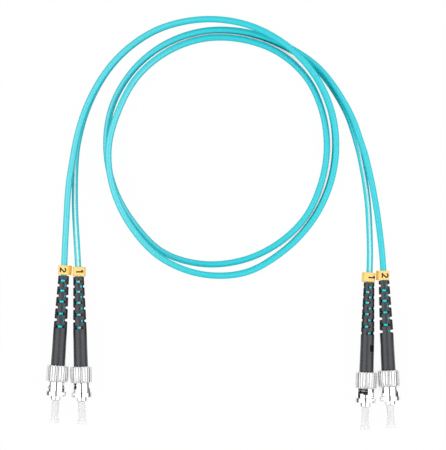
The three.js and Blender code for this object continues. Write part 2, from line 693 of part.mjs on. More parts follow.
/** One of the route's points: the web's place, and the direction from cord 1 to cord 2. */
function routePoint([angle, radius, height, lean]) {
  const outwards = new THREE.Vector3(1, 0, 0).applyAxisAngle(UP, THREE.MathUtils.degToRad(angle));
  const tilt = THREE.MathUtils.degToRad(lean);
  const web = new THREE.Vector3(...LOOP_CENTRE, height).addScaledVector(outwards, radius);
  const up = outwards.multiplyScalar(Math.sin(tilt)).setZ(Math.cos(tilt));
  return { web, up };
}

/** The middle of the web and the direction up the stack, anywhere on the duplex stretch. */
function duplexCurves() {
  const points = ROUTE.map(routePoint);
  return {
    web: new THREE.CatmullRomCurve3(points.map((point) => point.web), false, 'catmullrom', 0.5),
    up: new THREE.CatmullRomCurve3(points.map((point) => point.up), false, 'catmullrom', 0.5),
  };
}

const DUPLEX = duplexCurves();
const ROW_STEP = 1 / (ROUTE.length - 1);

/** The web's place, its direction and the way up the stack, from 0 at split A to 1 at split B. */
function duplexFrame(share) {
  const t = THREE.MathUtils.lerp(ROW_STEP, 1 - ROW_STEP, share);
  const along = DUPLEX.web.getTangent(t);
  const side = new THREE.Vector3().crossVectors(DUPLEX.up.getPoint(t), along).normalize();
  return { web: DUPLEX.web.getPoint(t), along, side, up: new THREE.Vector3().crossVectors(along, side) };
}

/** The place of cord 1 or 2 on the duplex stretch. */
function cordPoint(cord, share) {
  const { web, up } = duplexFrame(share);
  return web.addScaledVector(up, (cord === 2 ? STACK_PITCH : -STACK_PITCH) / 2);
}

/** The outline of the duplex jacket: two round lobes and the web between them. */
function duplexOutline() {
  const lobe = [-18, 36, 90, 144, 198];
  const upper = lobe.map((degrees) => {
    const angle = THREE.MathUtils.degToRad(degrees);
    const [x, y] = [CORD_RADIUS * Math.cos(angle), CORD_RADIUS * Math.sin(angle)];
    return new THREE.Vector2(x, y + STACK_PITCH / 2);
  });
  const lower = upper.map((point) => point.clone().negate());
  const web = WEB_WIDTH / 2;
  return [...upper, new THREE.Vector2(-web, 0), ...lower, new THREE.Vector2(web, 0)];
}

/** The duplex jacket, from split to split. */
function duplexJacket() {
  const outline = duplexOutline();
  const turns = Math.abs(ROUTE.at(-2)[0] - ROUTE[1][0]) / 360;
  const steps = Math.round(turns * LOOP_STEPS);
  const rings = [];
  for (let step = 0; step <= steps; step += 1) {
    const { web, side, up } = duplexFrame(step / steps);
    rings.push(outline.map(({ x, y }) => web.clone().addScaledVector(side, x).addScaledVector(up, y)));
  }
  return loft(rings, outline);
}

/** A leg's line: from the split, by its own points, straight through the boot to the crimp. */
function legCurve(plug) {
  const split = plug.name.startsWith('a') ? 0 : 1;
  const away = duplexFrame(split).along.multiplyScalar(split === 0 ? -1 : 1);
  const start = cordPoint(plug.cord, split).addScaledVector(away, BUTT_GAP);
  const inBoot = [-BOOT_LENGTH, -BOOT_LENGTH * 0.8, -BOOT_LENGTH * 0.6, -BOOT_LENGTH * 0.4, CORD_END];
  return new THREE.CatmullRomCurve3([
    start,
    ...LEGS[plug.name].map((point) => new THREE.Vector3(...point)),
    ...inBoot.map((along) => plugPlace(plug, along)),
  ]);
}

/** A leg's jacket: a round tube along its line. */
function legJacket(plug) {
  const outline = new THREE.Shape(Array.from({ length: CORD_SIDES }, (_, i) => {
    const angle = ((i + 0.5) / CORD_SIDES) * 2 * Math.PI;
    return new THREE.Vector2(CORD_RADIUS * Math.cos(angle), CORD_RADIUS * Math.sin(angle));
  }));
  return new THREE.ExtrudeGeometry(outline, { steps: LEG_STEPS, extrudePath: legCurve(plug) });
}

/** Points on cord 1 or 2, evenly from split to split. */
function cordPoints(cord, count) {
  return Array.from({ length: count }, (_, i) => cordPoint(cord, i / (count - 1)));
}

/** The length of cord 1 or 2 from split to split. */
function cordLength(cord) {
  const points = cordPoints(cord, 700);
  return points.slice(1).reduce((sum, point, i) => sum + point.distanceTo(points[i]), 0);
}

/** The least gap between turns of the duplex stretch, measured on points of both cords. */
function leastGap() {
  const count = 700;
  const apart = Math.round(count / 8);
  const cords = [cordPoints(1, count), cordPoints(2, count)];
  let least = Infinity;
  for (const one of cords) {
    for (const other of cords) {
      for (let i = 0; i + apart < count; i += 1) {
        for (let j = i + apart; j < count; j += 1) {
          least = Math.min(least, one[i].distanceTo(other[j]));
        }
      }
    }
  }
  return least - CORD_DIAMETER;
}

// ------------------------------------------------------------------ the whole cord

const patchCord = new THREE.Group();
patchCord.add(part('duplex_jacket', duplexJacket(), 'jacket'));
for (const plug of PLUGS) {
  patchCord.add(part(`leg_jacket_${plug.name}`, legJacket(plug), 'jacket'));
  patchCord.add(plugGroup(plug));
  patchCord.add(markerGroup(plug));
  const leg = legCurve(plug).getLength();
  console.log(`leg ${plug.name}: ${leg.toFixed(1)} mm from the split to the crimp`);
}
const splitLengths = [1, 2].map((cord) => cordLength(cord).toFixed(1));
console.log(`from split to split: cords 1 and 2 ${splitLengths.join(' and ')} mm`);
console.log(`least gap between its turns: ${leastGap().toFixed(2)} mm`);

export default patchCord;
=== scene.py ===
"""The looks of a duplex fibre patch cord with four bayonet plugs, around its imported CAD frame.

Everything is in metres in the frame of the CAD model: the cord lies on z = 0, +X runs from the plugs
of end A to those of end B, and +Y from the plugs towards the loops of cord. A plug's pieces are made
on their own axis, +Y forwards and +Z up, and then laid on the axis that the frame's joints give.
"""

from __future__ import annotations

import json
import logging
import math
from dataclasses import dataclass, field
from enum import Enum
from typing import Callable, Iterable, Mapping, Sequence

import bmesh
import bpy
import numpy as np
from mathutils import Matrix, Vector

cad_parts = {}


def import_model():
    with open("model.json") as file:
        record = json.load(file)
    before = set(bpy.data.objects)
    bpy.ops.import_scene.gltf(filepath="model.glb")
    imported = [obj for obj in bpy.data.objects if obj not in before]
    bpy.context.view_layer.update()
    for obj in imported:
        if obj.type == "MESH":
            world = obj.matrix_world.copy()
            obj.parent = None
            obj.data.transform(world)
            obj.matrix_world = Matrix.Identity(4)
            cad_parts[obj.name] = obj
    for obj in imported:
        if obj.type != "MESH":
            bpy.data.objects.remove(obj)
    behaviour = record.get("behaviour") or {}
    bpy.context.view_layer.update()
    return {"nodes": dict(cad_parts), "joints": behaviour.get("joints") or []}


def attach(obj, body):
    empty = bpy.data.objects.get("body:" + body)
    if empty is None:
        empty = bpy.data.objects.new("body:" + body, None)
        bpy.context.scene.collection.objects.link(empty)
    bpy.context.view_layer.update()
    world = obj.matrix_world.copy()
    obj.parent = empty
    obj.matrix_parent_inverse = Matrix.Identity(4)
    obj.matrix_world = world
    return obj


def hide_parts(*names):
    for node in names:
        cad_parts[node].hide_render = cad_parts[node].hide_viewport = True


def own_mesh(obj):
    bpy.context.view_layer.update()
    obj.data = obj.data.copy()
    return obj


LOG = logging.getLogger("patch_cord")
MM = 0.001

Colour = tuple[float, float, float]
Stretch = tuple[float, float, float]
Point = Sequence[float]


def linear_channel(value: int) -> float:
    """One channel in linear light, from its 0 to 255 display value by the sRGB curve."""
    share = value / 255
    return share / 12.92 if share <= 0.04045 else ((share + 0.055) / 1.055) ** 2.4


def linear(red: int, green: int, blue: int) -> Colour:
    """A colour for a shader from its 0 to 255 display values."""
    return linear_channel(red), linear_channel(green), linear_channel(blue)


# ---------------------------------------------------------------- shader maths


class Signal:
    """A shader socket's output that Python operators work on."""

    def __init__(self, graph: Graph, socket: bpy.types.NodeSocket) -> None:
        """Wraps one output socket of a graph."""
        self.graph = graph
        self.socket = socket

    def _math(self, operation: str, first: object, second: object = None) -> Signal:
        """One Math node on one or two values."""
        values = {0: first} if second is None else {0: first, 1: second}
        return self.graph.node("Math", {"operation": operation}, values)

    def __add__(self, other: object) -> Signal:
        """Sum."""
        return self._math("ADD", self, other)

    __radd__ = __add__

    def __mul__(self, other: object) -> Signal:
        """Product."""
        return self._math("MULTIPLY", self, other)

    __rmul__ = __mul__

    def __sub__(self, other: object) -> Signal:
        """Difference."""
        return self._math("SUBTRACT", self, other)

    def __rsub__(self, other: object) -> Signal:
        """Reflected difference."""
        return self._math("SUBTRACT", other, self)

    def __truediv__(self, other: object) -> Signal:
        """Quotient."""
        return self._math("DIVIDE", self, other)

    def __rtruediv__(self, other: object) -> Signal:
        """Reflected quotient."""
        return self._math("DIVIDE", other, self)

    def __abs__(self) -> Signal:
        """Size without sign."""
        return self._math("ABSOLUTE", self)

    def smooth(self, low: float, high: float) -> Signal:
        """Runs smoothly from 0 at low to 1 at high; low may be the greater one.

        Args:
            low: the value that gives 0.
            high: the value that gives 1.

        Returns:
            The share between them, held at 0 and 1 outside.
        """
        start, end, first, last = (low, high, 0.0, 1.0) if low < high else (high, low, 1.0, 0.0)
        values = {"Value": self, "From Min": start, "From Max": end, "To Min": first, "To Max": last}
        return self.graph.node("MapRange", {"interpolation_type": "SMOOTHSTEP"}, values)


class Graph:
    """The node tree of one material or world."""

    def __init__(self, tree: bpy.types.NodeTree) -> None:
        """Starts with an empty tree."""
        self.tree = tree
        tree.nodes.clear()

    def node(
        self,
        kind: str,
        settings: Mapping[str, object] | None = None,
        values: Mapping[int | str, object] | None = None,
        output: int | str = 0,
    ) -> Signal:
        """Adds a node, sets it up and fills its sockets.

        Args:
            kind: the node's type without its ShaderNode prefix.
            settings: the node's own properties, such as a Math node's operation.
            values: what each input socket gets: a number, a vector, a colour or a Signal.
            output: the output socket that the Signal stands for.

        Returns:
            The Signal of that output.
        """
        made = self.tree.nodes.new("ShaderNode" + kind)
        for name, value in (settings or {}).items():
            setattr(made, name, value)
        for name, value in (values or {}).items():
            socket = made.inputs[name]
            if isinstance(value, Signal):
                self.tree.links.new(value.socket, socket)
            elif isinstance(value, tuple) and len(value) == 3 and socket.type == "RGBA":
                socket.default_value = (*value, 1.0)
            else:
                socket.default_value = value
        return Signal(self, made.outputs[output])

    def outputs(
        self, kind: str, names: Sequence[str], values: Mapping[int | str, object] | None = None,
    ) -> list[Signal]:
        """Adds a node of which several outputs are wanted.

        Args:
            kind: the node's type without its ShaderNode prefix.
            names: the output sockets.
            values: what each input socket gets.

        Returns:
            A Signal for each output.
        """
        made = self.node(kind, values=values).socket.node
        return [Signal(self, made.outputs[name]) for name in names]

    def mix(self, share: object, first: object, second: object) -> Signal:
        """Mixes two colours: 0 gives the first one and 1 the second."""
        return self.node("Mix", {"data_type": "RGBA"}, {0: share, 6: first, 7: second}, 2)

    def mix_shaders(self, share: Signal, first: Signal, second: Signal) -> Signal:
        """Mixes two shaders: 0 gives the first one and 1 the second."""
        return self.node("MixShader", values={0: share, 1: first, 2: second})

    def attribute(self, name: str, output: str = "Fac") -> Signal:
        """What the mesh says at each of its points."""
        return self.node("Attribute", {"attribute_name": name}, output=output)

    def place(self) -> Signal:
        """The piece's own coordinates, which move with it."""
        return self.node("TexCoord", output="Object")

    def noise(self, where: Signal, scale: float, detail: float = 3.0) -> Signal:
        """Soft noise from 0 to 1, with features of about 1 / scale metres."""
        values = {"Vector": where, "Scale": scale, "Detail": detail, "Roughness": 0.55}
        return self.node("TexNoise", values=values)

    def stretched(self, where: Signal, factors: Stretch) -> Signal:
        """Coordinates multiplied one by one, which stretches what is drawn on them."""
        return self.node("VectorMath", {"operation": "MULTIPLY"}, {0: where, 1: factors})

    def bump(self, height: Signal, distance: float) -> Signal:
        """A normal from a height from 0 to 1 and the real depth of 1."""
        return self.node("Bump", values={"Height": height, "Distance": distance, "Strength": 1.0})

    def close(self, shader: Signal, kind: str = "OutputMaterial") -> None:
        """Links a shader to the output of the tree."""
        output = self.tree.nodes.new("ShaderNode" + kind)
        self.tree.links.new(shader.socket, output.inputs["Surface"])


# ---------------------------------------------------------------- finishes


def new_material(name: str) -> tuple[bpy.types.Material, Graph]:
    """An empty node material and its graph."""
    material = bpy.data.materials.new(name)
    material.use_nodes = True
    return material, Graph(material.node_tree)


@dataclass(frozen=True)
class JacketFinish:
    """Smooth aqua PVC of the cord, with the pale, rough scar where its web was torn.

    Handling has left it shinier on the side of the loops and legs towards end A. A mesh's "sheltered"
    attribute, from 0 to 1, says where a boot covers the jacket: there it has no coat and is painted a
    brighter aqua, a painted light in the shaded slots of the boot.
    """

    aqua: Colour = linear(0, 208, 219)
    deeper: Colour = linear(0, 203, 215)
    # painted light: a brighter aqua where the jacket runs inside a boot, seen through its shaded slots
    painted_window_light: Colour = linear(0, 244, 255)
    scar: Colour = linear(212, 240, 240)
    roughness: float = 0.42
    gloss: float = 0.5
    coat: float = 0.3
    rubbed_coat: float = 1.0
    rubbed_side: tuple[float, float] = (-2 * MM, -46 * MM)
    coat_index: float = 1.8
    streak_grain: Stretch = (2.2, 0.012, 1.0)
    cloud_grain: Stretch = (0.3, 0.05, 1.0)
    fibre_grain: Stretch = (5.0, 0.7, 1.0)
    fibre_height: float = 16.0
    scar_roughness: float = 0.35
    grain_depth: float = 0.003 * MM

    def material(self) -> bpy.types.Material:
        """Builds the material.

        Returns:
            The node material. It reads the tube's "lay" (mm round and along), "torn" and "sheltered"
            attributes.
        """
        material, graph = new_material("aqua_jacket")
        lay = graph.attribute("lay", "Vector")
        torn, sheltered = graph.attribute("torn"), graph.attribute("sheltered")
        streaks = graph.noise(graph.stretched(lay, self.streak_grain), 1.0, 2.0)
        clouds = graph.noise(graph.stretched(lay, self.cloud_grain), 1.0, 2.0)
        fibres = graph.noise(graph.stretched(lay, self.fibre_grain), 1.0, 4.0)
        aqua = graph.mix(streaks * 0.4 + clouds * 0.6, self.deeper, self.aqua)
        # painted light: the jacket turns brighter aqua inside the boots
        aqua = graph.mix(sheltered, aqua, self.painted_window_light)
        scar = graph.mix(fibres.smooth(0.25, 0.5), self.aqua, self.scar)
        worn = (torn * (0.8 + fibres * 0.4)).smooth(0.3, 0.75)
        (across,) = graph.outputs("SeparateXYZ", ("X",), {0: graph.place()})
        rubbed = across.smooth(*self.rubbed_side)
        coat = self.coat + (self.rubbed_coat - self.coat) * rubbed
        colour = graph.mix(worn, aqua, scar)
        height = streaks * 0.6 + fibres * worn * self.fibre_height
        shader = graph.node("BsdfPrincipled", values={
            "Base Color": colour,
            "Roughness": self.roughness + worn * self.scar_roughness + (clouds - 0.5) * 0.06,
            "Specular IOR Level": self.gloss,
            "Coat Weight": coat * (1.0 - sheltered),
            "Coat Roughness": self.roughness,
            "Coat IOR": self.coat_index,
            "Normal": graph.bump(height, self.grain_depth),
        })
        graph.close(shader)
        return material


@dataclass(frozen=True)
class RubberFinish:
    """Black moulded rubber: satin, finely pitted, a little dusty and paler where it is rubbed.

    A mesh's "recess" attribute, from 0 to 1, says where it is matt, without coat and painted darker, a
    painted shade: inside slots, pocket and bore.
    """

    black: Colour = linear(20, 24, 31)
    rubbed: Colour = linear(42, 47, 56)
    # painted shade: the darker rubber colour inside the slots, the pocket and the bore
    shaded_rubber: Colour = linear(8, 8, 10)
    roughness: float = 0.4
    matting: float = 0.5
    gloss: float = 0.2
    coat: float = 1.0
    dust_scale: float = 420.0
    pit_scale: float = 6000.0
    pit_depth: float = 0.02 * MM

    def material(self) -> bpy.types.Material:
        """Builds the material.

        Returns:
            The node material. It reads the mesh's "recess" attribute.
        """
        material, graph = new_material("black_rubber")
        where = graph.place()
        pits = graph.noise(where, self.pit_scale, 3.0)
        dust = graph.noise(where, self.dust_scale, 4.0)
        recess = graph.attribute("recess")
        colour = graph.mix(dust.smooth(0.45, 0.75) * 0.5, self.black, self.rubbed)
        shader = graph.node("BsdfPrincipled", values={
            # painted shade in the recesses
            "Base Color": graph.mix(recess, colour, self.shaded_rubber),
            "Roughness": self.roughness + (dust - 0.5) * 0.2 + recess * self.matting,
            "Specular IOR Level": self.gloss,
            "Coat Weight": self.coat * (1.0 - recess),
            "Coat Roughness": self.roughness,
            "Normal": graph.bump(pits, self.pit_depth),
        })
        graph.close(shader)
        return material


@dataclass(frozen=True)
class NickelFinish:
    """Bright nickel plate on turned brass, with fine turning marks and light handling haze.

    A mesh's "recess" attribute, from 0 to 1, says where the plate is rougher and painted darker, a painted
    shade: in the grooves of a knurl, in inner corners and inside a bore.
    """

    plate: Colour = linear(238, 238, 238)
    haze: Colour = linear(226, 226, 227)
    # painted shade: the dark plate colour in bores, knurl grooves and inner corners
    shaded_plate: Colour = linear(46, 46, 48)
    roughness: float = 0.12
    dulling: float = 0.3
    haze_scale: float = 260.0
    mark_grain: Stretch = (300.0, 9000.0, 300.0)
    mark_depth: float = 0.002 * MM

    def material(self) -> bpy.types.Material:
        """Builds the material.

        Returns:
            The node material. It reads the mesh's "recess" attribute.
        """
        material, graph = new_material("nickel_plate")
        where = graph.place()
        haze = graph.noise(where, self.haze_scale, 4.0)
        marks = graph.noise(graph.stretched(where, self.mark_grain), 1.0, 2.0)
        recess = graph.attribute("recess")
        plate = graph.mix(haze.smooth(0.4, 0.8), self.plate, self.haze)
        shader = graph.node("BsdfPrincipled", values={
            "Base Color": graph.mix(recess, plate, self.shaded_plate),
            "Metallic": 1.0,
            "Roughness": self.roughness + haze.smooth(0.45, 0.8) * 0.1 + recess * self.dulling,
            "Normal": graph.bump(marks, self.mark_depth),
        })
        graph.close(shader)
        return material


@dataclass(frozen=True)
class PlainFinish:
    """A moulded, ground or drawn surface of one colour with a second one clouded into it.

    A mesh's "recess" attribute, from 0 to 1, says where the deeper colour shows, if there is one; on the
    number ring it is a painted shade on the side towards the other plug.
    """

    name: str
    colour: Colour
    clouded: Colour
    roughness: float
    gloss: float = 0.5
    metallic: float = 0.0
    cloud_scale: float = 400.0
    grain_scale: float = 5000.0
    grain_depth: float = 0.005 * MM
    transmission: float = 0.0
    subsurface: float = 0.0
    subsurface_reach: float = 1.0 * MM
    deeper: Colour | None = None

    def material(self) -> bpy.types.Material:
        """Builds the material.

        Returns:
            The node material. With a deeper colour, it reads the mesh's "recess" attribute.
        """
        material, graph = new_material(self.name)
        where = graph.place()
        clouds = graph.noise(where, self.cloud_scale, 3.0)
        grain = graph.noise(where, self.grain_scale, 2.0)
        colour = graph.mix(clouds.smooth(0.35, 0.7), self.colour, self.clouded)
        if self.deeper:
            colour = graph.mix(graph.attribute("recess"), colour, self.deeper)
        shader = graph.node("BsdfPrincipled", values={
            "Base Color": colour,
            "Metallic": self.metallic,
            "Roughness": self.roughness + (clouds - 0.5) * 0.12,
            "Specular IOR Level": self.gloss,
            "Transmission Weight": self.transmission,
            "Subsurface Weight": self.subsurface,
            "Subsurface Radius": (1.0, 1.0, 1.0),
            "Subsurface Scale": self.subsurface_reach,
            "Normal": graph.bump(grain, self.grain_depth),
        })
        graph.close(shader)
        return material


@dataclass(frozen=True)
class YarnFinish:
    """Yellow aramid yarn, combed straight over the crimp stub."""

    bright: Colour = linear(232, 190, 92)
    shade: Colour = linear(170, 120, 40)
    roughness: float = 0.8
    strand_grain: Stretch = (5200.0, 500.0, 5200.0)
    strand_depth: float = 0.06 * MM

    def material(self) -> bpy.types.Material:
        """Builds the material.

        Returns:
            The node material.
        """
        material, graph = new_material("aramid_yarn")
        strands = graph.noise(graph.stretched(graph.place(), self.strand_grain), 1.0, 2.0)
        shader = graph.node("BsdfPrincipled", values={
            "Base Color": graph.mix(strands.smooth(0.35, 0.65), self.shade, self.bright),
            "Roughness": self.roughness,
            "Normal": graph.bump(strands, self.strand_depth),
        })
        graph.close(shader)
        return material


class Finishes:
    """Every finish on the cord, made once."""

    def __init__(self) -> None:
        """Makes the materials."""
        self.jacket = JacketFinish().material()
        self.rubber = RubberFinish().material()
        self.nickel = NickelFinish().material()
        self.yarn = YarnFinish().material()
        self.zirconia = PlainFinish(
            "white_zirconia", linear(246, 244, 236), linear(238, 236, 228), 0.16, gloss=0.9,
            grain_depth=0.001 * MM, subsurface=0.1,
        ).material()
        self.cap = PlainFinish(
            "translucent_cap", linear(253, 253, 253), linear(250, 250, 251), 0.32, gloss=0.5,
            transmission=0.15, subsurface=0.25, grain_depth=0.003 * MM,
        ).material()
        # the marker's deeper colour is a painted shade on the ring's side towards the other plug
        self.marker = PlainFinish(
            "amber_marker", linear(255, 218, 124), linear(255, 211, 112), 0.4, gloss=0.7,
            grain_depth=0.006 * MM, subsurface=0.08, deeper=linear(255, 196, 60),
        ).material()
        self.ink = PlainFinish(
            "brown_ink", linear(50, 16, 22), linear(62, 26, 30), 0.5, gloss=0.3, grain_depth=0.002 * MM,
        ).material()
        self.spring = PlainFinish(
            "spring_steel", linear(214, 215, 216), linear(190, 192, 194), 0.24, metallic=1.0,
            grain_depth=0.003 * MM,
        ).material()
        self.buffer = PlainFinish(
            "white_buffer", linear(236, 242, 242), linear(228, 236, 236), 0.45,
        ).material()


# ---------------------------------------------------------------- mesh building


Ring = list[Vector]


def new_piece(name: str, points: Iterable[Point], faces: Iterable[Sequence[int]]) -> bpy.types.Object:
    """A mesh object at the origin.

    Args:
        name: the piece's name.
        points: its vertices.
        faces: the vertex numbers of each face.

    Returns:
        The object, linked into the scene.
    """
    mesh = bpy.data.meshes.new(name)
    mesh.from_pydata([tuple(point) for point in points], [], [tuple(face) for face in faces])
    mesh.validate()
    piece = bpy.data.objects.new(name, mesh)
    bpy.context.scene.collection.objects.link(piece)
    return piece


def skin_faces(rings: int, sides: int, closed: bool) -> list[tuple[int, ...]]:
    """The faces of a skin through rings of points.

    Args:
        rings: how many rings.
        sides: the points on each ring.
        closed: whether the last ring meets the first one; otherwise both ends are filled.

    Returns:
        The faces, pointing out where each ring runs anticlockwise seen from its end.
    """
    faces: list[tuple[int, ...]] = []
    for ring in range(rings if closed else rings - 1):
        here, there = ring * sides, ((ring + 1) % rings) * sides
        for side in range(sides):
            after = (side + 1) % sides
            faces.append((here + side, here + after, there + after, there + side))
    if not closed:
        faces.append(tuple(reversed(range(sides))))
        faces.append(tuple(range((rings - 1) * sides, rings * sides)))
    return faces


def rings_piece(name: str, rings: Sequence[Sequence[Point]], closed: bool) -> bpy.types.Object:
    """A piece skinned through rings, with its normals set to point out.

    Args:
        name: the piece's name.
        rings: rings of points, all of one count.
        closed: whether the last ring meets the first one; otherwise both ends are filled.

    Returns:
        The piece.
    """
    points = [point for ring in rings for point in ring]
    piece = new_piece(name, points, skin_faces(len(rings), len(rings[0]), closed))
    face_outwards(piece)
    return piece


def face_outwards(piece: bpy.types.Object) -> None:
    """Turns all faces of a closed mesh outwards.

    Args:
        piece: the piece whose mesh is changed.
    """
    work = bmesh.new()
    work.from_mesh(piece.data)
    bmesh.ops.recalc_face_normals(work, faces=work.faces)
    work.to_mesh(piece.data)
    work.free()


def turned(name: str, profile: Sequence[tuple[float, float]], sides: int) -> bpy.types.Object:
    """A turned ring or tube.

    Args:
        name: the piece's name.
        profile: the (radius, along) points of a closed profile, carried round the +Y axis.
        sides: the points on each ring.

    Returns:
        The piece.
    """
    angles = [2 * math.pi * side / sides for side in range(sides)]
    rings = [
        [(radius * math.sin(angle), along, radius * math.cos(angle)) for angle in angles]
        for radius, along in profile
    ]
    return rings_piece(name, rings, closed=True)


def rounded_corner(
    before: tuple[float, float], corner: tuple[float, float], after: tuple[float, float],
    radius: float, steps: int = 3,
) -> list[tuple[float, float]]:
    """Points that round a profile's corner off.

    Args:
        before, corner, after: the corner and the profile points on either side of it.
        radius: how far from the corner the rounding starts.
        steps: the pieces of the rounding.

    Returns:
        The points in order.
    """
    middle = Vector(corner)
    start = middle + (Vector(before) - middle).normalized() * radius
    end = middle + (Vector(after) - middle).normalized() * radius
    shares = [step / steps for step in range(steps + 1)]
    points = [start * (1 - t) ** 2 + middle * 2 * t * (1 - t) + end * t ** 2 for t in shares]
    return [(point.x, point.y) for point in points]


def eased(profile: Sequence[tuple[float, float, float]]) -> list[tuple[float, float]]:
    """A closed profile with rounded corners.

    Args:
        profile: (radius, along, rounding) of each corner; a rounding of 0 keeps it sharp.

    Returns:
        The (radius, along) points.
    """
    points: list[tuple[float, float]] = []
    for i, (radius, along, rounding) in enumerate(profile):
        if rounding <= 0:
            points.append((radius, along))
            continue
        before, after = profile[i - 1], profile[(i + 1) % len(profile)]
        points += rounded_corner(before[:2], (radius, along), after[:2], rounding)
    return points


def box_cutter(
    size: Point, centre: Point, roll: float, rounding: float, flare: float = 0.0,
) -> bpy.types.Object:
    """A block with rounded edges, rolled about the +Y axis, for cutting.

    Args:
        size: its width, length and height.
        centre: its middle before the roll.
        roll: the roll in degrees.
        rounding: the radius of its edges.
        flare: how much its length grows for each unit of height.

    Returns:
        The cutter.
    """
    work = bmesh.new()
    bmesh.ops.create_cube(work, size=1.0)
    bmesh.ops.scale(work, vec=Vector(size), verts=work.verts)
    if rounding > 0:
        bmesh.ops.bevel(
            work, geom=list(work.edges), offset=rounding, segments=3, profile=0.5, affect="EDGES",
        )
    for vertex in work.verts:
        vertex.co.y *= 1 + flare * (vertex.co.z + size[2] / 2) / size[1]
    bmesh.ops.translate(work, vec=Vector(centre), verts=work.verts)
    bmesh.ops.transform(work, matrix=roll_about_axis(roll), verts=work.verts)
    mesh = bpy.data.meshes.new("cutter")
    work.to_mesh(mesh)
    work.free()
    cutter = bpy.data.objects.new("cutter", mesh)
    bpy.context.scene.collection.objects.link(cutter)
    return cutter


def sector_cutter(
    inner: float, outer: float, start: float, end: float, rear: float, front: float,
    facet: float = 4.0,
) -> bpy.types.Object:
    """A cutter for a part of a tube's wall.

    Args:
        inner, outer: its radii.
        start, end: its azimuths in degrees.
        rear, front: its ends along +Y.
        facet: the degrees that each of its flat sides takes at most.

    Returns:
        The cutter.
    """
    steps = max(2, math.ceil(abs(end - start) / facet))
    azimuths = [math.radians(start + (end - start) * step / steps) for step in range(steps + 1)]
    outline = [(outer, azimuth) for azimuth in azimuths]
    outline += [(inner, azimuth) for azimuth in reversed(azimuths)]
    rings = [
        [(-radius * math.sin(azimuth), along, radius * math.cos(azimuth)) for radius, azimuth in outline]
        for along in (rear, front)
    ]
    return rings_piece("cutter", rings, closed=False)


def roll_about_axis(azimuth: float) -> Matrix:
    """The roll that brings straight up to an azimuth on a plug's axis."""
    return Matrix.Rotation(-math.radians(azimuth), 4, "Y")


def cut(piece: bpy.types.Object, cutters: Sequence[bpy.types.Object]) -> None:
    """Takes the cutters out of a piece and deletes them.

    Args:
        piece: the piece that is cut.
        cutters: what is cut out of it.
    """
    for cutter in cutters:
        modifier = piece.modifiers.new("cut", "BOOLEAN")
        modifier.operation = "DIFFERENCE"
        modifier.solver = "EXACT"
        modifier.object = cutter
        freeze(piece)
        bpy.data.objects.remove(cutter, do_unlink=True)


def freeze(piece: bpy.types.Object) -> None:
    """Turns a piece and its modifiers into a plain mesh.

    Args:
        piece: the piece whose mesh is replaced.
    """
    graph = bpy.context.evaluated_depsgraph_get()
    graph.update()
    mesh = bpy.data.meshes.new_from_object(piece.evaluated_get(graph))
    piece.modifiers.clear()
    old = piece.data
    piece.data = mesh
    bpy.data.meshes.remove(old)


def soften(piece: bpy.types.Object, width: float, angle: float, segments: int = 2) -> None:
    """Breaks the sharp edges of a piece with a small round.

    Args:
        piece: the piece.
        width: how far from the edge the round starts.
        angle: the least angle in degrees at which an edge counts as sharp.
        segments: the flat steps of the round.
    """
    modifier = piece.modifiers.new("soften", "BEVEL")
    modifier.width = width
    modifier.segments = segments
    modifier.limit_method = "ANGLE"
    modifier.angle_limit = math.radians(angle)
    modifier.use_clamp_overlap = True
    freeze(piece)


def mark(piece: bpy.types.Object, name: str, values: Sequence[float] | np.ndarray) -> None:
    """Writes one number for each point of a mesh, for a finish to read."""
    layer = piece.data.attributes.new(name, "FLOAT", "POINT")
    layer.data.foreach_set("value", np.array(values, np.float32))


def mark_recess(piece: bpy.types.Object, depth_of: Callable[[float, float], float]) -> None:
    """Marks where a turned piece on the +Y axis is rougher and painted with shade.

    Args:
        piece: the piece, still on its own axis.
        depth_of: the "recess" attribute at a radius and a distance along the axis.
    """
    points = [vertex.co for vertex in piece.data.vertices]
    mark(piece, "recess", [depth_of(math.hypot(point.x, point.z), point.y) for point in points])


def shade(piece: bpy.types.Object, angle: float = 35.0) -> None:
    """Smooth shading, with edges sharper than an angle in degrees kept."""
    for face in piece.data.polygons:
        face.use_smooth = True
    piece.data.set_sharp_from_angle(angle=math.radians(angle))


def dress(
    piece: bpy.types.Object, material: bpy.types.Material, body: str, nodes: Sequence[str],
) -> bpy.types.Object:
    """Gives a piece its finish and ties it to the frame.

    Args:
        piece: the piece, in its place.
        material: its finish.
        body: the body that it moves with.
        nodes: the CAD nodes that it stands for.

    Returns:
        The piece.
    """
    piece.data.materials.clear()
    piece.data.materials.append(material)
    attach(piece, body)
    if nodes:
        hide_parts(*nodes)
    LOG.info("%s: %d faces", piece.name, len(piece.data.polygons))
    return piece


# ---------------------------------------------------------------- where the cord and the plugs lie


class End(Enum):
    """The two ends of the patch cord."""

    A = "a"
    B = "b"


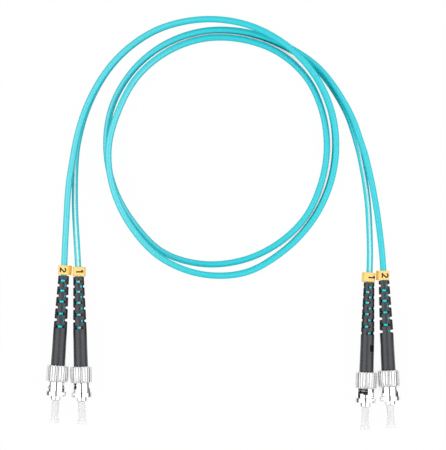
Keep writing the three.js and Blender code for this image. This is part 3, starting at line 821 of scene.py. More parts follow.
# The web between cord 1 and cord 2, about the middle of the loops: angle from +X in degrees, radius and
# height in metres, and how far the stack leans outwards in degrees. The first and last rows only steer.
LOOP_CENTRE = (0.0, 0.08955)
ROUTE: tuple[tuple[float, float, float, float], ...] = (
    (200, 0.0728, 0.0031, 30),
    (180, 0.06633, 0.00277, 20),
    (160, 0.06361, 0.00282, 11),
    (140, 0.06239, 0.00289, 4),
    (120, 0.06102, 0.0035, 2),
    (100, 0.05868, 0.0062, 0),
    (80, 0.05648, 0.00895, 0),
    (60, 0.05436, 0.0091, 0),
    (40, 0.05272, 0.0089, 2),
    (20, 0.05148, 0.0063, 6),
    (0, 0.05078, 0.0036, 7),
    (-20, 0.05085, 0.00292, 6),
    (-40, 0.05186, 0.0029, 4),
    (-60, 0.05378, 0.0037, 3),
    (-80, 0.05693, 0.0062, 2),
    (-100, 0.05756, 0.0087, 0),
    (-120, 0.0567, 0.0091, 0),
    (-140, 0.05427, 0.0091, 0),
    (-160, 0.05261, 0.0091, 0),
    (-180, 0.05139, 0.0091, 0),
    (-200, 0.0498, 0.0089, 0),
    (-220, 0.0501, 0.0064, 0),
    (-240, 0.0501, 0.0037, 0),
    (-260, 0.05005, 0.00291, 0),
    (-280, 0.0497, 0.00285, 0),
    (-300, 0.04977, 0.00285, 0),
    (-320, 0.0492, 0.00285, 0),
    (-340, 0.04762, 0.00285, 0),
    (-360, 0.0468, 0.00285, 0),
    (-380, 0.04698, 0.00285, 0),
    (-400, 0.04846, 0.00285, 0),
    (-420, 0.04964, 0.00285, 0),
    (-440, 0.05126, 0.00285, 0),
    (-460, 0.05303, 0.00285, 0),
    (-480, 0.05414, 0.00285, 0),
    (-500, 0.05247, 0.00285, 0),
    (-520, 0.0522, 0.00285, 0),
    (-540, 0.05256, 0.00285, 0),
    (-560, 0.05333, 0.00285, 0),
    (-580, 0.05355, 0.00285, 0),
    (-600, 0.0536, 0.00285, 0),
    (-620, 0.05346, 0.00285, 0),
    (-640, 0.05315, 0.00285, 4),
    (-660, 0.05369, 0.00282, 12),
    (-680, 0.05585, 0.0028, 15),
    (-700, 0.05787, 0.00274, 23),
    (-716, 0.06084, 0.00255, 38),
    (-736, 0.0688, 0.0027, 42),
)


@dataclass(frozen=True)
class Leg:
    """One cord's own stretch, from the split to the straight run into its boot."""

    points: tuple[tuple[float, float, float], ...]
    web_azimuths: tuple[float, ...]


@dataclass(frozen=True)
class Lay:
    """How one plug lies: the azimuths of its boot, nut and ring, and the ring's place on its leg."""

    end: End
    cord: int
    boot: float
    nut: float
    ring: float
    ring_gap: float
    ring_hang: float
    ring_askew: float
    digit_shift: float
    leg: Leg

    @property
    def name(self) -> str:
        """The plug's name, such as a1."""
        return f"{self.end.value}{self.cord}"


LAYS = (
    Lay(End.A, 2, boot=167, nut=61, ring=-25, ring_gap=0.5 * MM, ring_hang=0.5 * MM, ring_askew=1.5,
        digit_shift=0.1 * MM,
        leg=Leg((
            (-0.06773, 0.08415, 0.0042), (-0.06908, 0.07605, 0.00422), (-0.06982, 0.06885, 0.00426),
            (-0.07025, 0.06165, 0.00433), (-0.07063, 0.05445, 0.00442), (-0.07101, 0.04725, 0.00454),
            (-0.07117, 0.04365, 0.0046),
        ), (160, 170, 180))),
    Lay(End.A, 1, boot=158, nut=-101, ring=-8, ring_gap=0.2 * MM, ring_hang=0.4 * MM, ring_askew=3.5,
        digit_shift=0.6 * MM,
        leg=Leg((
            (-0.06638, 0.0837, 0.00142), (-0.06671, 0.07605, 0.00145), (-0.06678, 0.06885, 0.00175),
            (-0.06667, 0.06165, 0.0023), (-0.06629, 0.05445, 0.0031), (-0.06585, 0.04725, 0.00385),
            (-0.06561, 0.04365, 0.00415),
        ), (-20, 0, 0, 0, 2, 6))),
    Lay(End.B, 1, boot=50, nut=-57, ring=24, ring_gap=0.2 * MM, ring_hang=-0.45 * MM, ring_askew=2.5,
        digit_shift=0.7 * MM,
        leg=Leg((
            (0.06165, 0.08685, 0.0014), (0.06314, 0.07943, 0.00142), (0.06417, 0.07335, 0.00152),
            (0.06507, 0.0666, 0.00185), (0.06561, 0.05985, 0.00245), (0.06595, 0.05265, 0.0032),
            (0.06611, 0.0459, 0.00395), (0.06615, 0.04095, 0.0043),
        ), (38, 0, 8, 11, 4, 0, 4))),
    Lay(End.B, 2, boot=-105, nut=-112, ring=16, ring_gap=0.2 * MM, ring_hang=-0.4 * MM, ring_askew=4.5,
        digit_shift=0.45 * MM,
        leg=Leg((
            (0.06395, 0.08685, 0.00362), (0.06577, 0.0795, 0.00365), (0.06714, 0.07313, 0.00375),
            (0.06836, 0.0666, 0.0039), (0.06948, 0.05985, 0.0041), (0.07043, 0.05265, 0.0043),
            (0.07124, 0.0459, 0.0045), (0.07173, 0.04095, 0.0046),
        ), (218, 200, 180))),
)


class Spline:
    """A Catmull-Rom curve through points."""

    def __init__(self, points: Sequence[Point]) -> None:
        """Keeps the points, with one more beyond each end to steer it.

        Args:
            points: what the curve passes through, in order.
        """
        known = [np.array(point, float) for point in points]
        first = 2 * known[0] - known[1]
        last = 2 * known[-1] - known[-2]
        self.points = [first, *known, last]
        self.spans = len(known) - 1

    def at(self, place: float) -> np.ndarray:
        """The point at a place.

        Args:
            place: 0 at the first point to 1 at the last.

        Returns:
            The point.
        """
        along = min(max(place, 0.0), 1.0) * self.spans
        span = min(int(along), self.spans - 1)
        t = along - span
        p0, p1, p2, p3 = self.points[span:span + 4]
        return 0.5 * (
            2 * p1 + (p2 - p0) * t + (2 * p0 - 5 * p1 + 4 * p2 - p3) * t ** 2
            + (3 * p1 - p0 - 3 * p2 + p3) * t ** 3
        )

    def line(self, count: int) -> np.ndarray:
        """Evenly numbered points from end to end."""
        return np.array([self.at(i / (count - 1)) for i in range(count)])


def units(vectors: np.ndarray) -> np.ndarray:
    """Vectors of length 1, each in a row of its own."""
    return vectors / np.linalg.norm(vectors, axis=-1, keepdims=True)


@dataclass
class Zipcord:
    """The duplex stretch: two round cords joined by a thin web."""

    diameter: float = 2.8 * MM
    web_height: float = 0.1 * MM
    samples: int = 1700

    @property
    def pitch(self) -> float:
        """From the middle of one cord to the middle of the other."""
        return self.diameter + self.web_height

    def stretch(self, cord: int) -> tuple[np.ndarray, np.ndarray]:
        """One cord of the duplex stretch, from split A to split B.

        Args:
            cord: 1 or 2.

        Returns:
            Its centreline, and at each point the direction from cord 1 to cord 2.
        """
        webs, ups = [], []
        for degrees, radius, height, lean in ROUTE:
            angle, tilt = math.radians(degrees), math.radians(lean)
            out = np.array([math.cos(angle), math.sin(angle), 0.0])
            webs.append(np.array([*LOOP_CENTRE, height]) + out * radius)
            ups.append(out * math.sin(tilt) + np.array([0.0, 0.0, math.cos(tilt)]))
        margin = 1 / (len(ROUTE) - 1)
        shares = np.linspace(margin, 1 - margin, self.samples)
        web_curve, up_curve = Spline(webs), Spline(ups)
        web = np.array([web_curve.at(share) for share in shares])
        up = np.array([up_curve.at(share) for share in shares])
        along = units(np.gradient(web, axis=0))
        up = np.cross(along, units(np.cross(up, along)))
        return web + up * (self.pitch / 2 if cord == 2 else -self.pitch / 2), up


@dataclass
class PlugSeat:
    """Where a plug's axis lies, as the frame's joints give it."""

    lay: Lay
    origin: Vector
    forward: Vector

    def place(self, along: float) -> Vector:
        """The point on the axis at a distance in front of the nut's rear face."""
        return self.origin + self.forward * along

    def matrix(self, azimuth: float) -> Matrix:
        """From a piece's own axis to the plug's, rolled to an azimuth."""
        heading = math.atan2(self.forward.y, self.forward.x) - math.pi / 2
        turn = Matrix.Rotation(heading, 4, "Z")
        return Matrix.Translation(self.origin) @ turn @ roll_about_axis(azimuth)


def find_seats(joints: Sequence[Mapping[str, object]]) -> list[PlugSeat]:
    """The seat of each plug, from the joint that its nut turns on.

    Args:
        joints: the frame's joints.

    Returns:
        One seat for each lay.
    """
    by_name = {joint["name"]: joint for joint in joints}
    seats = []
    for lay in LAYS:
        joint = by_name[f"nut_turn_{lay.name}"]
        seats.append(PlugSeat(lay, Vector(joint["pos_m"]), Vector(joint["axis"]).normalized()))
    return seats


# ---------------------------------------------------------------- the cords


@dataclass
class JacketedCord:
    """One whole jacket: from inside its boot at end A, round the loops, to inside its boot at end B."""

    number: int
    finishes: Finishes
    zipcord: Zipcord = field(default_factory=Zipcord)
    length: float = 1.02
    ring_step: float = 0.8 * MM
    boot_length: float = 40.3 * MM
    end_along: float = -11.2 * MM
    smoothing: float = 1.6 * MM
    web_width: float = 0.7 * MM
    web_stand: float = 0.16 * MM
    round_sides: int = 24
    web_sides: int = 8
    section_gap: float = 0.06
    leg_samples: int = 260
    straight_points: int = 5
    steered_share: float = 0.62
    shelter_depth: float = 0.8 * MM
    tear_length: float = 4 * MM
    tear_depth: float = 0.25
    ragged_share: float = 0.5
    ragged_points: int = 4
    ragged_seed: int = 40
    covered_stand: float = 0.3
    web_smoothing: float = 3.0

    def _seat(self, seats: Sequence[PlugSeat], end: End) -> PlugSeat:
        """The seat of this cord's plug at an end."""
        return next(seat for seat in seats if seat.lay.end is end and seat.lay.cord == self.number)

    def _leg(self, seat: PlugSeat, split: np.ndarray, up: np.ndarray) -> tuple[np.ndarray, np.ndarray]:
        """One leg, from the split into the boot.

        Args:
            seat: where its plug lies.
            split: the point where the web ends.
            up: the direction of the web there.

        Returns:
            The leg's line, and the direction of the web at each point.
        """
        straight = np.linspace(-self.boot_length, self.end_along, self.straight_points)
        inside = [np.array(seat.place(along)) for along in straight]
        points = [split, *[np.array(point) for point in seat.lay.leg.points], *inside]
        line = Spline(points).line(self.leg_samples)
        azimuths = [math.degrees(math.atan2(up[0], up[2])), *seat.lay.leg.web_azimuths[1:]]
        if azimuths[0] < -90:
            azimuths[0] += 360
        places = np.linspace(0, self.steered_share, len(azimuths))
        rolls = np.radians(np.interp(np.linspace(0, 1, len(line)), places, azimuths))
        ups = np.stack([np.sin(rolls), np.zeros(len(rolls)), np.cos(rolls)], axis=1)
        return line, ups

    def _route(self, seats: Sequence[PlugSeat]) -> tuple[np.ndarray, np.ndarray, np.ndarray]:
        """The whole jacket's route, in even steps.

        Args:
            seats: where the plugs lie.

        Returns:
            Its centreline, and at each point the direction of the web and how far it is past a split.
        """
        stretch, up = self.zipcord.stretch(self.number)
        web = up if self.number == 1 else -up
        leg_a, up_a = self._leg(self._seat(seats, End.A), stretch[0], web[0])
        leg_b, up_b = self._leg(self._seat(seats, End.B), stretch[-1], web[-1])
        line = np.concatenate([leg_a[::-1], stretch[1:-1], leg_b])
        ups = np.concatenate([up_a[::-1], web[1:-1], up_b])
        steps = np.linalg.norm(np.diff(line, axis=0), axis=1)
        travelled = np.concatenate([[0.0], np.cumsum(steps)])
        total = travelled[-1]
        even = np.linspace(0, total, int(total / self.ring_step) + 1)
        line = np.stack([np.interp(even, travelled, line[:, axis]) for axis in range(3)], axis=1)
        ups = np.stack([np.interp(even, travelled, ups[:, axis]) for axis in range(3)], axis=1)
        split_a, split_b = travelled[len(leg_a) - 1], travelled[len(leg_a) + len(stretch) - 3]
        past = np.maximum(split_a - even, even - split_b)
        return self._smoothed(line), self._smoothed(ups, self.web_smoothing), past

    def _smoothed(self, values: np.ndarray, times: float = 1.0) -> np.ndarray:
        """Evens a line out, with both of its ends kept.

        Args:
            values: one row for each point.
            times: how many times the usual smoothing length.

        Returns:
            The evened rows.
        """
        sigma = self.smoothing * times / self.ring_step
        reach = int(3 * sigma)
        weights = np.exp(-0.5 * (np.arange(-reach, reach + 1) / sigma) ** 2)
        weights /= weights.sum()
        before = 2 * values[0] - values[reach:0:-1]
        after = 2 * values[-1] - values[-2:-reach - 2:-1]
        padded = np.concatenate([before, values, after])
        return np.stack([np.convolve(padded[:, axis], weights, "valid") for axis in range(3)], axis=1)

    def _sheltered(self, seats: Sequence[PlugSeat], line: np.ndarray) -> np.ndarray:
        """How much a boot shelters each point of the line.

        Args:
            seats: where the plugs lie.
            line: the jacket's centreline.

        Returns:
            0 outside the boots to 1 a little way inside one.
        """
        inside = np.zeros(len(line))
        for seat in seats:
            if seat.lay.cord == self.number:
                tip = np.array(seat.place(-self.boot_length))
                forward = units(np.array(seat.place(0)) - tip)
                along = (line - tip) @ forward
                aside = np.linalg.norm(line - tip - np.outer(along, forward), axis=1)
                here = np.clip(along / self.shelter_depth, 0, 1) * (aside < self.zipcord.diameter)
                inside = np.maximum(inside, here)
        return inside

    def _section(self) -> list[tuple[float, float]]:
        """The jacket's section.

        Returns:
            For each point, the angle from the web, and how much of the web it carries.
        """
        radius = self.zipcord.diameter / 2
        half = self.web_width / 2 / radius
        web = [(half * (2 * i / self.web_sides - 1), 1.0) for i in range(self.web_sides + 1)]
        edge = half + self.section_gap
        count = self.round_sides
        rest = [(edge + (2 * math.pi - 2 * edge) * i / count, 0.0) for i in range(count + 1)]
        return web + rest

    def build(self, seats: Sequence[PlugSeat]) -> bpy.types.Object:
        """Args:
            seats: where the plugs lie.

        Returns:
            The jacket.
        """
        line, ups, past = self._route(seats)
        along = units(np.gradient(line, axis=0))
        side = units(np.cross(ups, along))
        up = np.cross(along, side)
        radius = self.zipcord.diameter / 2
        section = self._section()
        rng = np.random.default_rng(self.ragged_seed + self.number)
        spread = np.ones(self.ragged_points) / self.ragged_points
        ragged = np.convolve(rng.normal(size=len(line)), spread, "same")
        torn = np.clip(past / self.tear_length + 0.5, 0, 1)
        stand = self.web_stand * (1.0 if self.number == 1 else self.covered_stand)
        heights = stand * (1 - self.tear_depth * torn * (1 + self.ragged_share * ragged))
        sheltered = self._sheltered(seats, line)
        rings, lay, scars, shelter = [], [], [], []
        for i, centre in enumerate(line):
            ring = []
            for angle, carried in section:
                reach = radius + heights[i] * carried
                direction = up[i] * math.cos(angle) + side[i] * math.sin(angle)
                ring.append(centre + direction * reach)
                lay.append((angle * radius / MM, i * self.ring_step / MM, self.number))
                scars.append(carried * torn[i])
                shelter.append(sheltered[i])
            rings.append(ring)
        piece = rings_piece(f"cord_{self.number}", rings, closed=False)
        lay_layer = piece.data.attributes.new("lay", "FLOAT_VECTOR", "POINT")
        lay_layer.data.foreach_set("vector", np.array(lay, np.float32).ravel())
        mark(piece, "torn", scars)
        mark(piece, "sheltered", shelter)
        shade(piece, 60.0)
        legs = (f"leg_jacket_{end.value}{self.number}" for end in End)
        dress(piece, self.finishes.jacket, "root", ("duplex_jacket", *legs))
        mouth = self._seat(seats, End.A)
        tuple(mouth.place(-self.boot_length))
        return piece


# ---------------------------------------------------------------- the pieces of a plug


@dataclass
class BayonetPlug:
    """One plug: sizes along its axis are from the nut's rear face, forwards positive."""

    seat: PlugSeat
    finishes: Finishes
    nut_diameter: float = 9.6 * MM
    knurl_ridges: int = 20
    knurl_depth: float = 0.36 * MM
    knurl_length: float = 7.5 * MM
    knurl_chamfer: float = 0.35 * MM
    groove_spread: float = 0.13
    crown: float = 0.05 * MM
    knurl_phases: tuple[float, ...] = (
        0, 0.05, 0.1, 0.15, 0.2, 0.28, 0.39, 0.5, 0.61, 0.72, 0.8, 0.85, 0.9, 0.95,
    )
    nut_bore: float = 7.0 * MM
    wall_hole: float = 6.1 * MM
    rear_recess: float = 7.28 * MM
    shell_diameter: float = 7.76 * MM
    shell_front: float = 11.9 * MM
    rim_diameter: float = 9.4 * MM
    nut_front: float = 13.8 * MM
    wall_rear: float = 1.3 * MM
    wall_front: float = 2.5 * MM
    slot_width: float = 2.2 * MM
    slot_sweep: float = 54.0
    slot_to_knurl: float = 0.15 * MM
    groove_depth: float = 0.75 * MM
    detent_step: float = 0.5 * MM
    fillet: float = 0.1 * MM
    lip: float = 0.08 * MM
    rim_round: float = 0.15 * MM
    round_step: float = 0.04 * MM
    corner_reach: float = 0.12 * MM
    corner_loop: float = 0.22 * MM
    nut_edge: float = 0.05 * MM
    # painted shade of the nut's plate: in the grooves, over the knurl and in the inner corners
    groove_shading: float = 0.45
    knurl_darkening: float = 0.28
    corner_shading: float = 0.7
    nose_diameter: float = 4.95 * MM
    nose_front: float = 15.6 * MM
    flange_rear: float = 9.075 * MM
    flange_length: float = 1.0 * MM
    flange_diameter: float = 6.66 * MM
    barrel_diameter: float = 5.08 * MM
    barrel_rear: float = 0.2 * MM
    clip_groove: tuple[float, float, float] = (0.5 * MM, 1.2 * MM, 0.4 * MM)
    stub_rear: float = -8.1 * MM
    stub_diameter: float = 3.2 * MM
    passage_diameter: float = 1.4 * MM
    ferrule_seat: tuple[float, float] = (10.15 * MM, 2.6 * MM)
    notch: tuple[float, float, float] = (0.75 * MM, 2.6 * MM, 0.7 * MM)
    notch_azimuths: tuple[float, ...] = (90.0, 210.0, 330.0)
    key: tuple[float, float, float] = (1.2 * MM, 3.0 * MM, 1.0 * MM)
    key_set_back: float = 3.9 * MM
    key_azimuth: float = 180.0
    ferrule_diameter: float = 2.5 * MM
    ferrule_ends: tuple[float, float] = (10.3 * MM, 22.9 * MM)
    ferrule_chamfer: float = 0.3 * MM
    fibre_bore: float = 0.14 * MM
    cap_gap: float = 0.15 * MM
    cap_length: float = 10.25 * MM
    cap_diameter: float = 3.4 * MM
    cap_bore: float = 2.78 * MM
    cap_mouth: tuple[float, float] = (0.22 * MM, 0.6 * MM)
    cap_flange_diameter: float = 4.4 * MM
    cap_flange_length: float = 1.6 * MM
    cap_end_wall: float = 2.6 * MM
    cap_dimple: tuple[float, float] = (1.1 * MM, 0.2 * MM)
    turned_sides: int = 48
    spring_radius: float = 3.1 * MM
    spring_wire: float = 0.45 * MM
    spring_rear: float = 3.35 * MM
    spring_turns: float = 5.5
    spring_spare: float = 0.3 * MM
    nut_travel: float = 2.5 * MM
    curl_steps: int = 28
    wire_sides: int = 10
    sides: int = 72

    @property
    def name(self) -> str:
        """The plug's name, such as a1."""
        return self.seat.lay.name

    def _settle(
        self, piece: bpy.types.Object, node: str, material: bpy.types.Material,
        body: str = "root", azimuth: float = 0.0,
    ) -> bpy.types.Object:
        """Lays a piece on the plug's axis and dresses it.

        Args:
            piece: the piece, on its own axis.
            node: the CAD node that it stands for, without the plug's name.
            material: its finish.
            body: the body that it moves with; another one than the root is given without the plug's name.
            azimuth: the roll that it gets, in degrees.

        Returns:
            The piece.
        """
        piece.data.transform(self.seat.matrix(azimuth))
        owner = body if body == "root" else f"{body}_{self.name}"
        return dress(piece, material, owner, (f"{node}_{self.name}",))

    def _knurl_radius(self, angle: float) -> float:
        """The knurl's outline: broad, slightly crowned ridges with narrow grooves between them.

        Args:
            angle: the azimuth in radians.

        Returns:
            The radius there.
        """
        phase = (angle * self.knurl_ridges / (2 * math.pi)) % 1.0
        from_groove = min(phase, 1 - phase)
        groove = math.exp(-((from_groove / self.groove_spread) ** 2))
        crown = self.crown * (1 - (1 - 2 * from_groove) ** 2)
        return self.nut_diameter / 2 - self.crown + crown - self.knurl_depth * groove

    def _nut_profile(self) -> list[tuple[float, float, bool]]:
        """The nut's profile.

        Returns:
            For each ring, its radius, its place along the axis, and whether the knurl cuts it.
        """
        crest, chamfer = self.nut_diameter / 2, self.knurl_chamfer
        bore, rim, shell = self.nut_bore / 2, self.rim_diameter / 2, self.shell_diameter / 2
        recess, hole, root = self.rear_recess / 2, self.wall_hole / 2, crest - chamfer
        end, rear, front = self.knurl_length, self.shell_front, self.nut_front
        fillet, corner, step, loop = self.fillet, self.rim_round, self.round_step, self.corner_loop
        return [
            (recess + self.lip, 0, False), (root - self.corner_reach, 0, False), (root, step, True),
            (crest - fillet, chamfer * 0.7, True), (crest, chamfer * 1.2, True),
            (crest, end - chamfer * 1.2, True), (crest - fillet, end - chamfer * 0.7, True),
            (root, end - step, True), (root - self.corner_reach, end, False),
            (shell + fillet, end, False), (shell, end + fillet, False), (shell, end + loop, False),
            (shell, rear - loop, False), (shell, rear - fillet, False), (shell + fillet, rear, False),
            (rim - corner, rear, False), (rim - step, rear + step, False), (rim, rear + corner, False),
            (rim, front - corner, False), (rim - step, front - step, False), (rim - corner, front, False),
            (bore + corner, front, False), (bore, front - corner, False), (bore, self.wall_front, False),
            (hole, self.wall_front, False), (hole, self.wall_rear, False),
            (recess, self.wall_rear, False), (recess, self.lip, False),
        ]

    def build_nut(self) -> bpy.types.Object:
        """The coupling nut, with its knurl, its bayonet slots and its rim.

        Returns:
            The nut.
        """
        angles = [
            2 * math.pi * (ridge + phase) / self.knurl_ridges
            for ridge in range(self.knurl_ridges) for phase in self.knurl_phases
        ]
        rings = []
        for limit, along, knurled in self._nut_profile():
            radii = [min(limit, self._knurl_radius(angle)) if knurled else limit for angle in angles]
            rings.append([
                (radius * math.sin(angle), along, radius * math.cos(angle))
                for radius, angle in zip(radii, angles)
            ])
        piece = rings_piece(f"coupling_nut_plated_{self.name}", rings, closed=True)
        cut(piece, self._slot_cutters())
        soften(piece, self.nut_edge, angle=50.0)
        shade(piece, 38.0)
        # painted shade: dark plate in the bore, in the knurl's grooves and in the inner corners
        mark_recess(piece, self._nut_recess)
        return self._settle(
            piece, "coupling_nut", self.finishes.nickel, "nut", self.seat.lay.nut,
        )

    def _nut_recess(self, radius: float, along: float) -> float:
        """How dark and rough the nut's plate is: painted shade, darkest in its bore, less in its inner
        corners and the grooves of its knurl; the rest of the knurl is a little darker and rougher.

        Args:
            radius, along: a point's place in the nut.

        Returns:
            0 where it is bright to 1 where it is darkest and roughest.
        """
        near = self.rim_round
        if radius < self.nut_bore / 2 + near and along < self.nut_front - 2 * near:
            return 1.0
        from_corner = min(abs(along - self.knurl_length), abs(along - self.shell_front))
        if from_corner < self.corner_reach and radius < self.shell_diameter / 2 + near:
            return self.corner_shading
        chamfer = self.knurl_chamfer
        if chamfer < along < self.knurl_length - chamfer:
            depth = self.nut_diameter / 2 - self.crown - radius
            share = min(max(depth / self.knurl_depth, 0.0), 1.0)
            return self.knurl_darkening + (self.groove_shading - self.knurl_darkening) * share
        return 0.0

    def _slot_cutters(self) -> list[bpy.types.Object]:
        """The cutters of the nut's slots.

        Returns:
            Cutters for the two bayonet slots, their entry grooves and their detents.
        """
        rear = self.knurl_length + self.slot_to_knurl
        front, inner_rear = rear + self.slot_width, rear + self.fillet
        half = math.degrees(self.slot_width / self.shell_diameter)
        bore = self.nut_bore / 2
        inside, outside = bore * 0.8, self.shell_diameter / 2 + 0.25 * MM
        groove, past_rim = bore + self.groove_depth, self.nut_front + 1 * MM
        cutters = []
        for entry in (0.0, 180.0):
            detent = entry + self.slot_sweep
            start, end = entry - half, entry + half
            cutters += [
                sector_cutter(inside, outside, start, detent + half, rear, front),
                sector_cutter(inside, outside, start, end, inner_rear, self.shell_front),
                sector_cutter(inside, groove, start, end, inner_rear, past_rim),
                sector_cutter(
                    inside, outside, detent - half, detent + half, inner_rear, front + self.detent_step,
                ),
            ]
        return cutters

    def build_body(self) -> bpy.types.Object:
        """The plug body: nose with its key, flange, barrel, clip groove and crimp stub.

        Returns:
            The body, without its key.
        """
        nose, flange, barrel = (
            diameter / 2 for diameter in (self.nose_diameter, self.flange_diameter, self.barrel_diameter)
        )
        groove_rear, groove_front, groove_depth = self.clip_groove
        stub, passage, groove = self.stub_diameter / 2, self.passage_diameter / 2, barrel - groove_depth
        seat_rear, seat = self.ferrule_seat[0], self.ferrule_seat[1] / 2
        rear, front, step = self.stub_rear, self.nose_front, self.barrel_rear
        flange_rear, flange_front = self.flange_rear, self.flange_rear + self.flange_length
        profile = eased([
            (passage, rear, 0), (stub, rear, 0.1 * MM), (stub, step, 0), (barrel, step, 0.1 * MM),
            (barrel, groove_rear, 0), (groove, groove_rear, 0), (groove, groove_front, 0),
            (barrel, groove_front, 0.05 * MM), (barrel, flange_rear, 0), (flange, flange_rear, 0.1 * MM),
            (flange, flange_front, 0.15 * MM), (nose, flange_front, 0.1 * MM), (nose, front, 0.22 * MM),
            (seat, front, 0.15 * MM), (seat, seat_rear, 0), (passage, seat_rear, 0),
        ])
        piece = turned(f"plug_body_plated_{self.name}", profile, self.sides)
        cut(piece, [
            box_cutter(self.notch, (0, front, nose), azimuth, 0.05 * MM) for azimuth in self.notch_azimuths
        ])
        key = box_cutter(self.key, (0, front - self.key_set_back, nose), 0.0, 0.15 * MM)
        key.name = f"plug_key_{self.name}"
        # painted shade: the barrel and stub behind the flange, inside the nut, get the dark plate colour
        mark_recess(piece, lambda radius, along: float(along < flange_front - self.fillet))
        for part in (key, piece):
            shade(part)
            self._settle(part, "plug_body", self.finishes.nickel, azimuth=self.key_azimuth)
        return piece

    def build_ferrule(self) -> bpy.types.Object:
        """The ferrule, with its polished, chamfered tip and the fibre's bore.

        Returns:
            The ferrule.
        """
        radius, bore, chamfer = self.ferrule_diameter / 2, self.fibre_bore / 2, self.ferrule_chamfer
        rear, tip = self.ferrule_ends
        profile = eased([
            (bore, rear, 0), (radius, rear, 0.05 * MM), (radius, tip - chamfer, 0.08 * MM),
            (radius - chamfer, tip, 0.08 * MM), (bore, tip, 0),
        ])
        piece = turned(f"ferrule_ground_{self.name}", profile, self.turned_sides)
        shade(piece)
        return self._settle(piece, "ferrule", self.finishes.zirconia)

    def build_cap(self) -> bpy.types.Object:
        """The dust cap: a thin tube with a flange round its closed end.

        Returns:
            The cap.
        """
        outer, flange, bore = (
            diameter / 2 for diameter in (self.cap_diameter, self.cap_flange_diameter, self.cap_bore)
        )
        rear, axis = self.nose_front + self.cap_gap, 0.001 * MM
        front = rear + self.cap_length
        flange_rear, end = front - self.cap_flange_length, front - self.cap_end_wall
        (mouth_wall, mouth), (dimple, dimple_depth) = self.cap_mouth, self.cap_dimple
        floor = front - dimple_depth
        profile = eased([
            (axis, end, 0), (bore, end, 0.1 * MM), (bore, rear + mouth, 0), (outer - mouth_wall, rear, 0),
            (outer, rear, 0.06 * MM), (outer, flange_rear, 0.15 * MM), (flange, flange_rear, 0.12 * MM),
            (flange, front, 0.2 * MM), (dimple, front, 0.05 * MM), (dimple - 0.1 * MM, floor, 0.05 * MM),
            (axis, floor, 0),
        ])
        piece = turned(f"dust_cap_moulded_{self.name}", profile, self.turned_sides)
        shade(piece)
        return self._settle(piece, "dust_cap", self.finishes.cap, "cap")

    def build_spring(self) -> bpy.types.Object:
        """The coupling spring, wound round the barrel.

        Returns:
            The spring.
        """
        wire = self.spring_wire / 2
        length = (self.spring_turns + 1) * self.spring_wire + self.nut_travel + self.spring_spare
        count = int(self.spring_turns * self.curl_steps)
        turns = [2 * math.pi * side / self.wire_sides for side in range(self.wire_sides)]
        rings = []
        for step in range(count + 1):
            angle = 2 * math.pi * step / self.curl_steps
            along = self.spring_rear + wire + (length - 2 * wire) * step / count
            out = Vector((math.cos(angle), 0, math.sin(angle)))
            centre = out * self.spring_radius + Vector((0, along, 0))
            rings.append([
                centre + out * wire * math.cos(turn) + Vector((0, wire * math.sin(turn), 0))
                for turn in turns
            ])
        piece = rings_piece(f"coupling_spring_wound_{self.name}", rings, closed=False)
        shade(piece)
        self._settle(piece, "coupling_spring", self.finishes.spring)
        front = self.seat.place(self.spring_rear + length)
        f"washer_slide_{self.name}"
        1 - self.nut_travel / length
        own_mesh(piece)
        return piece


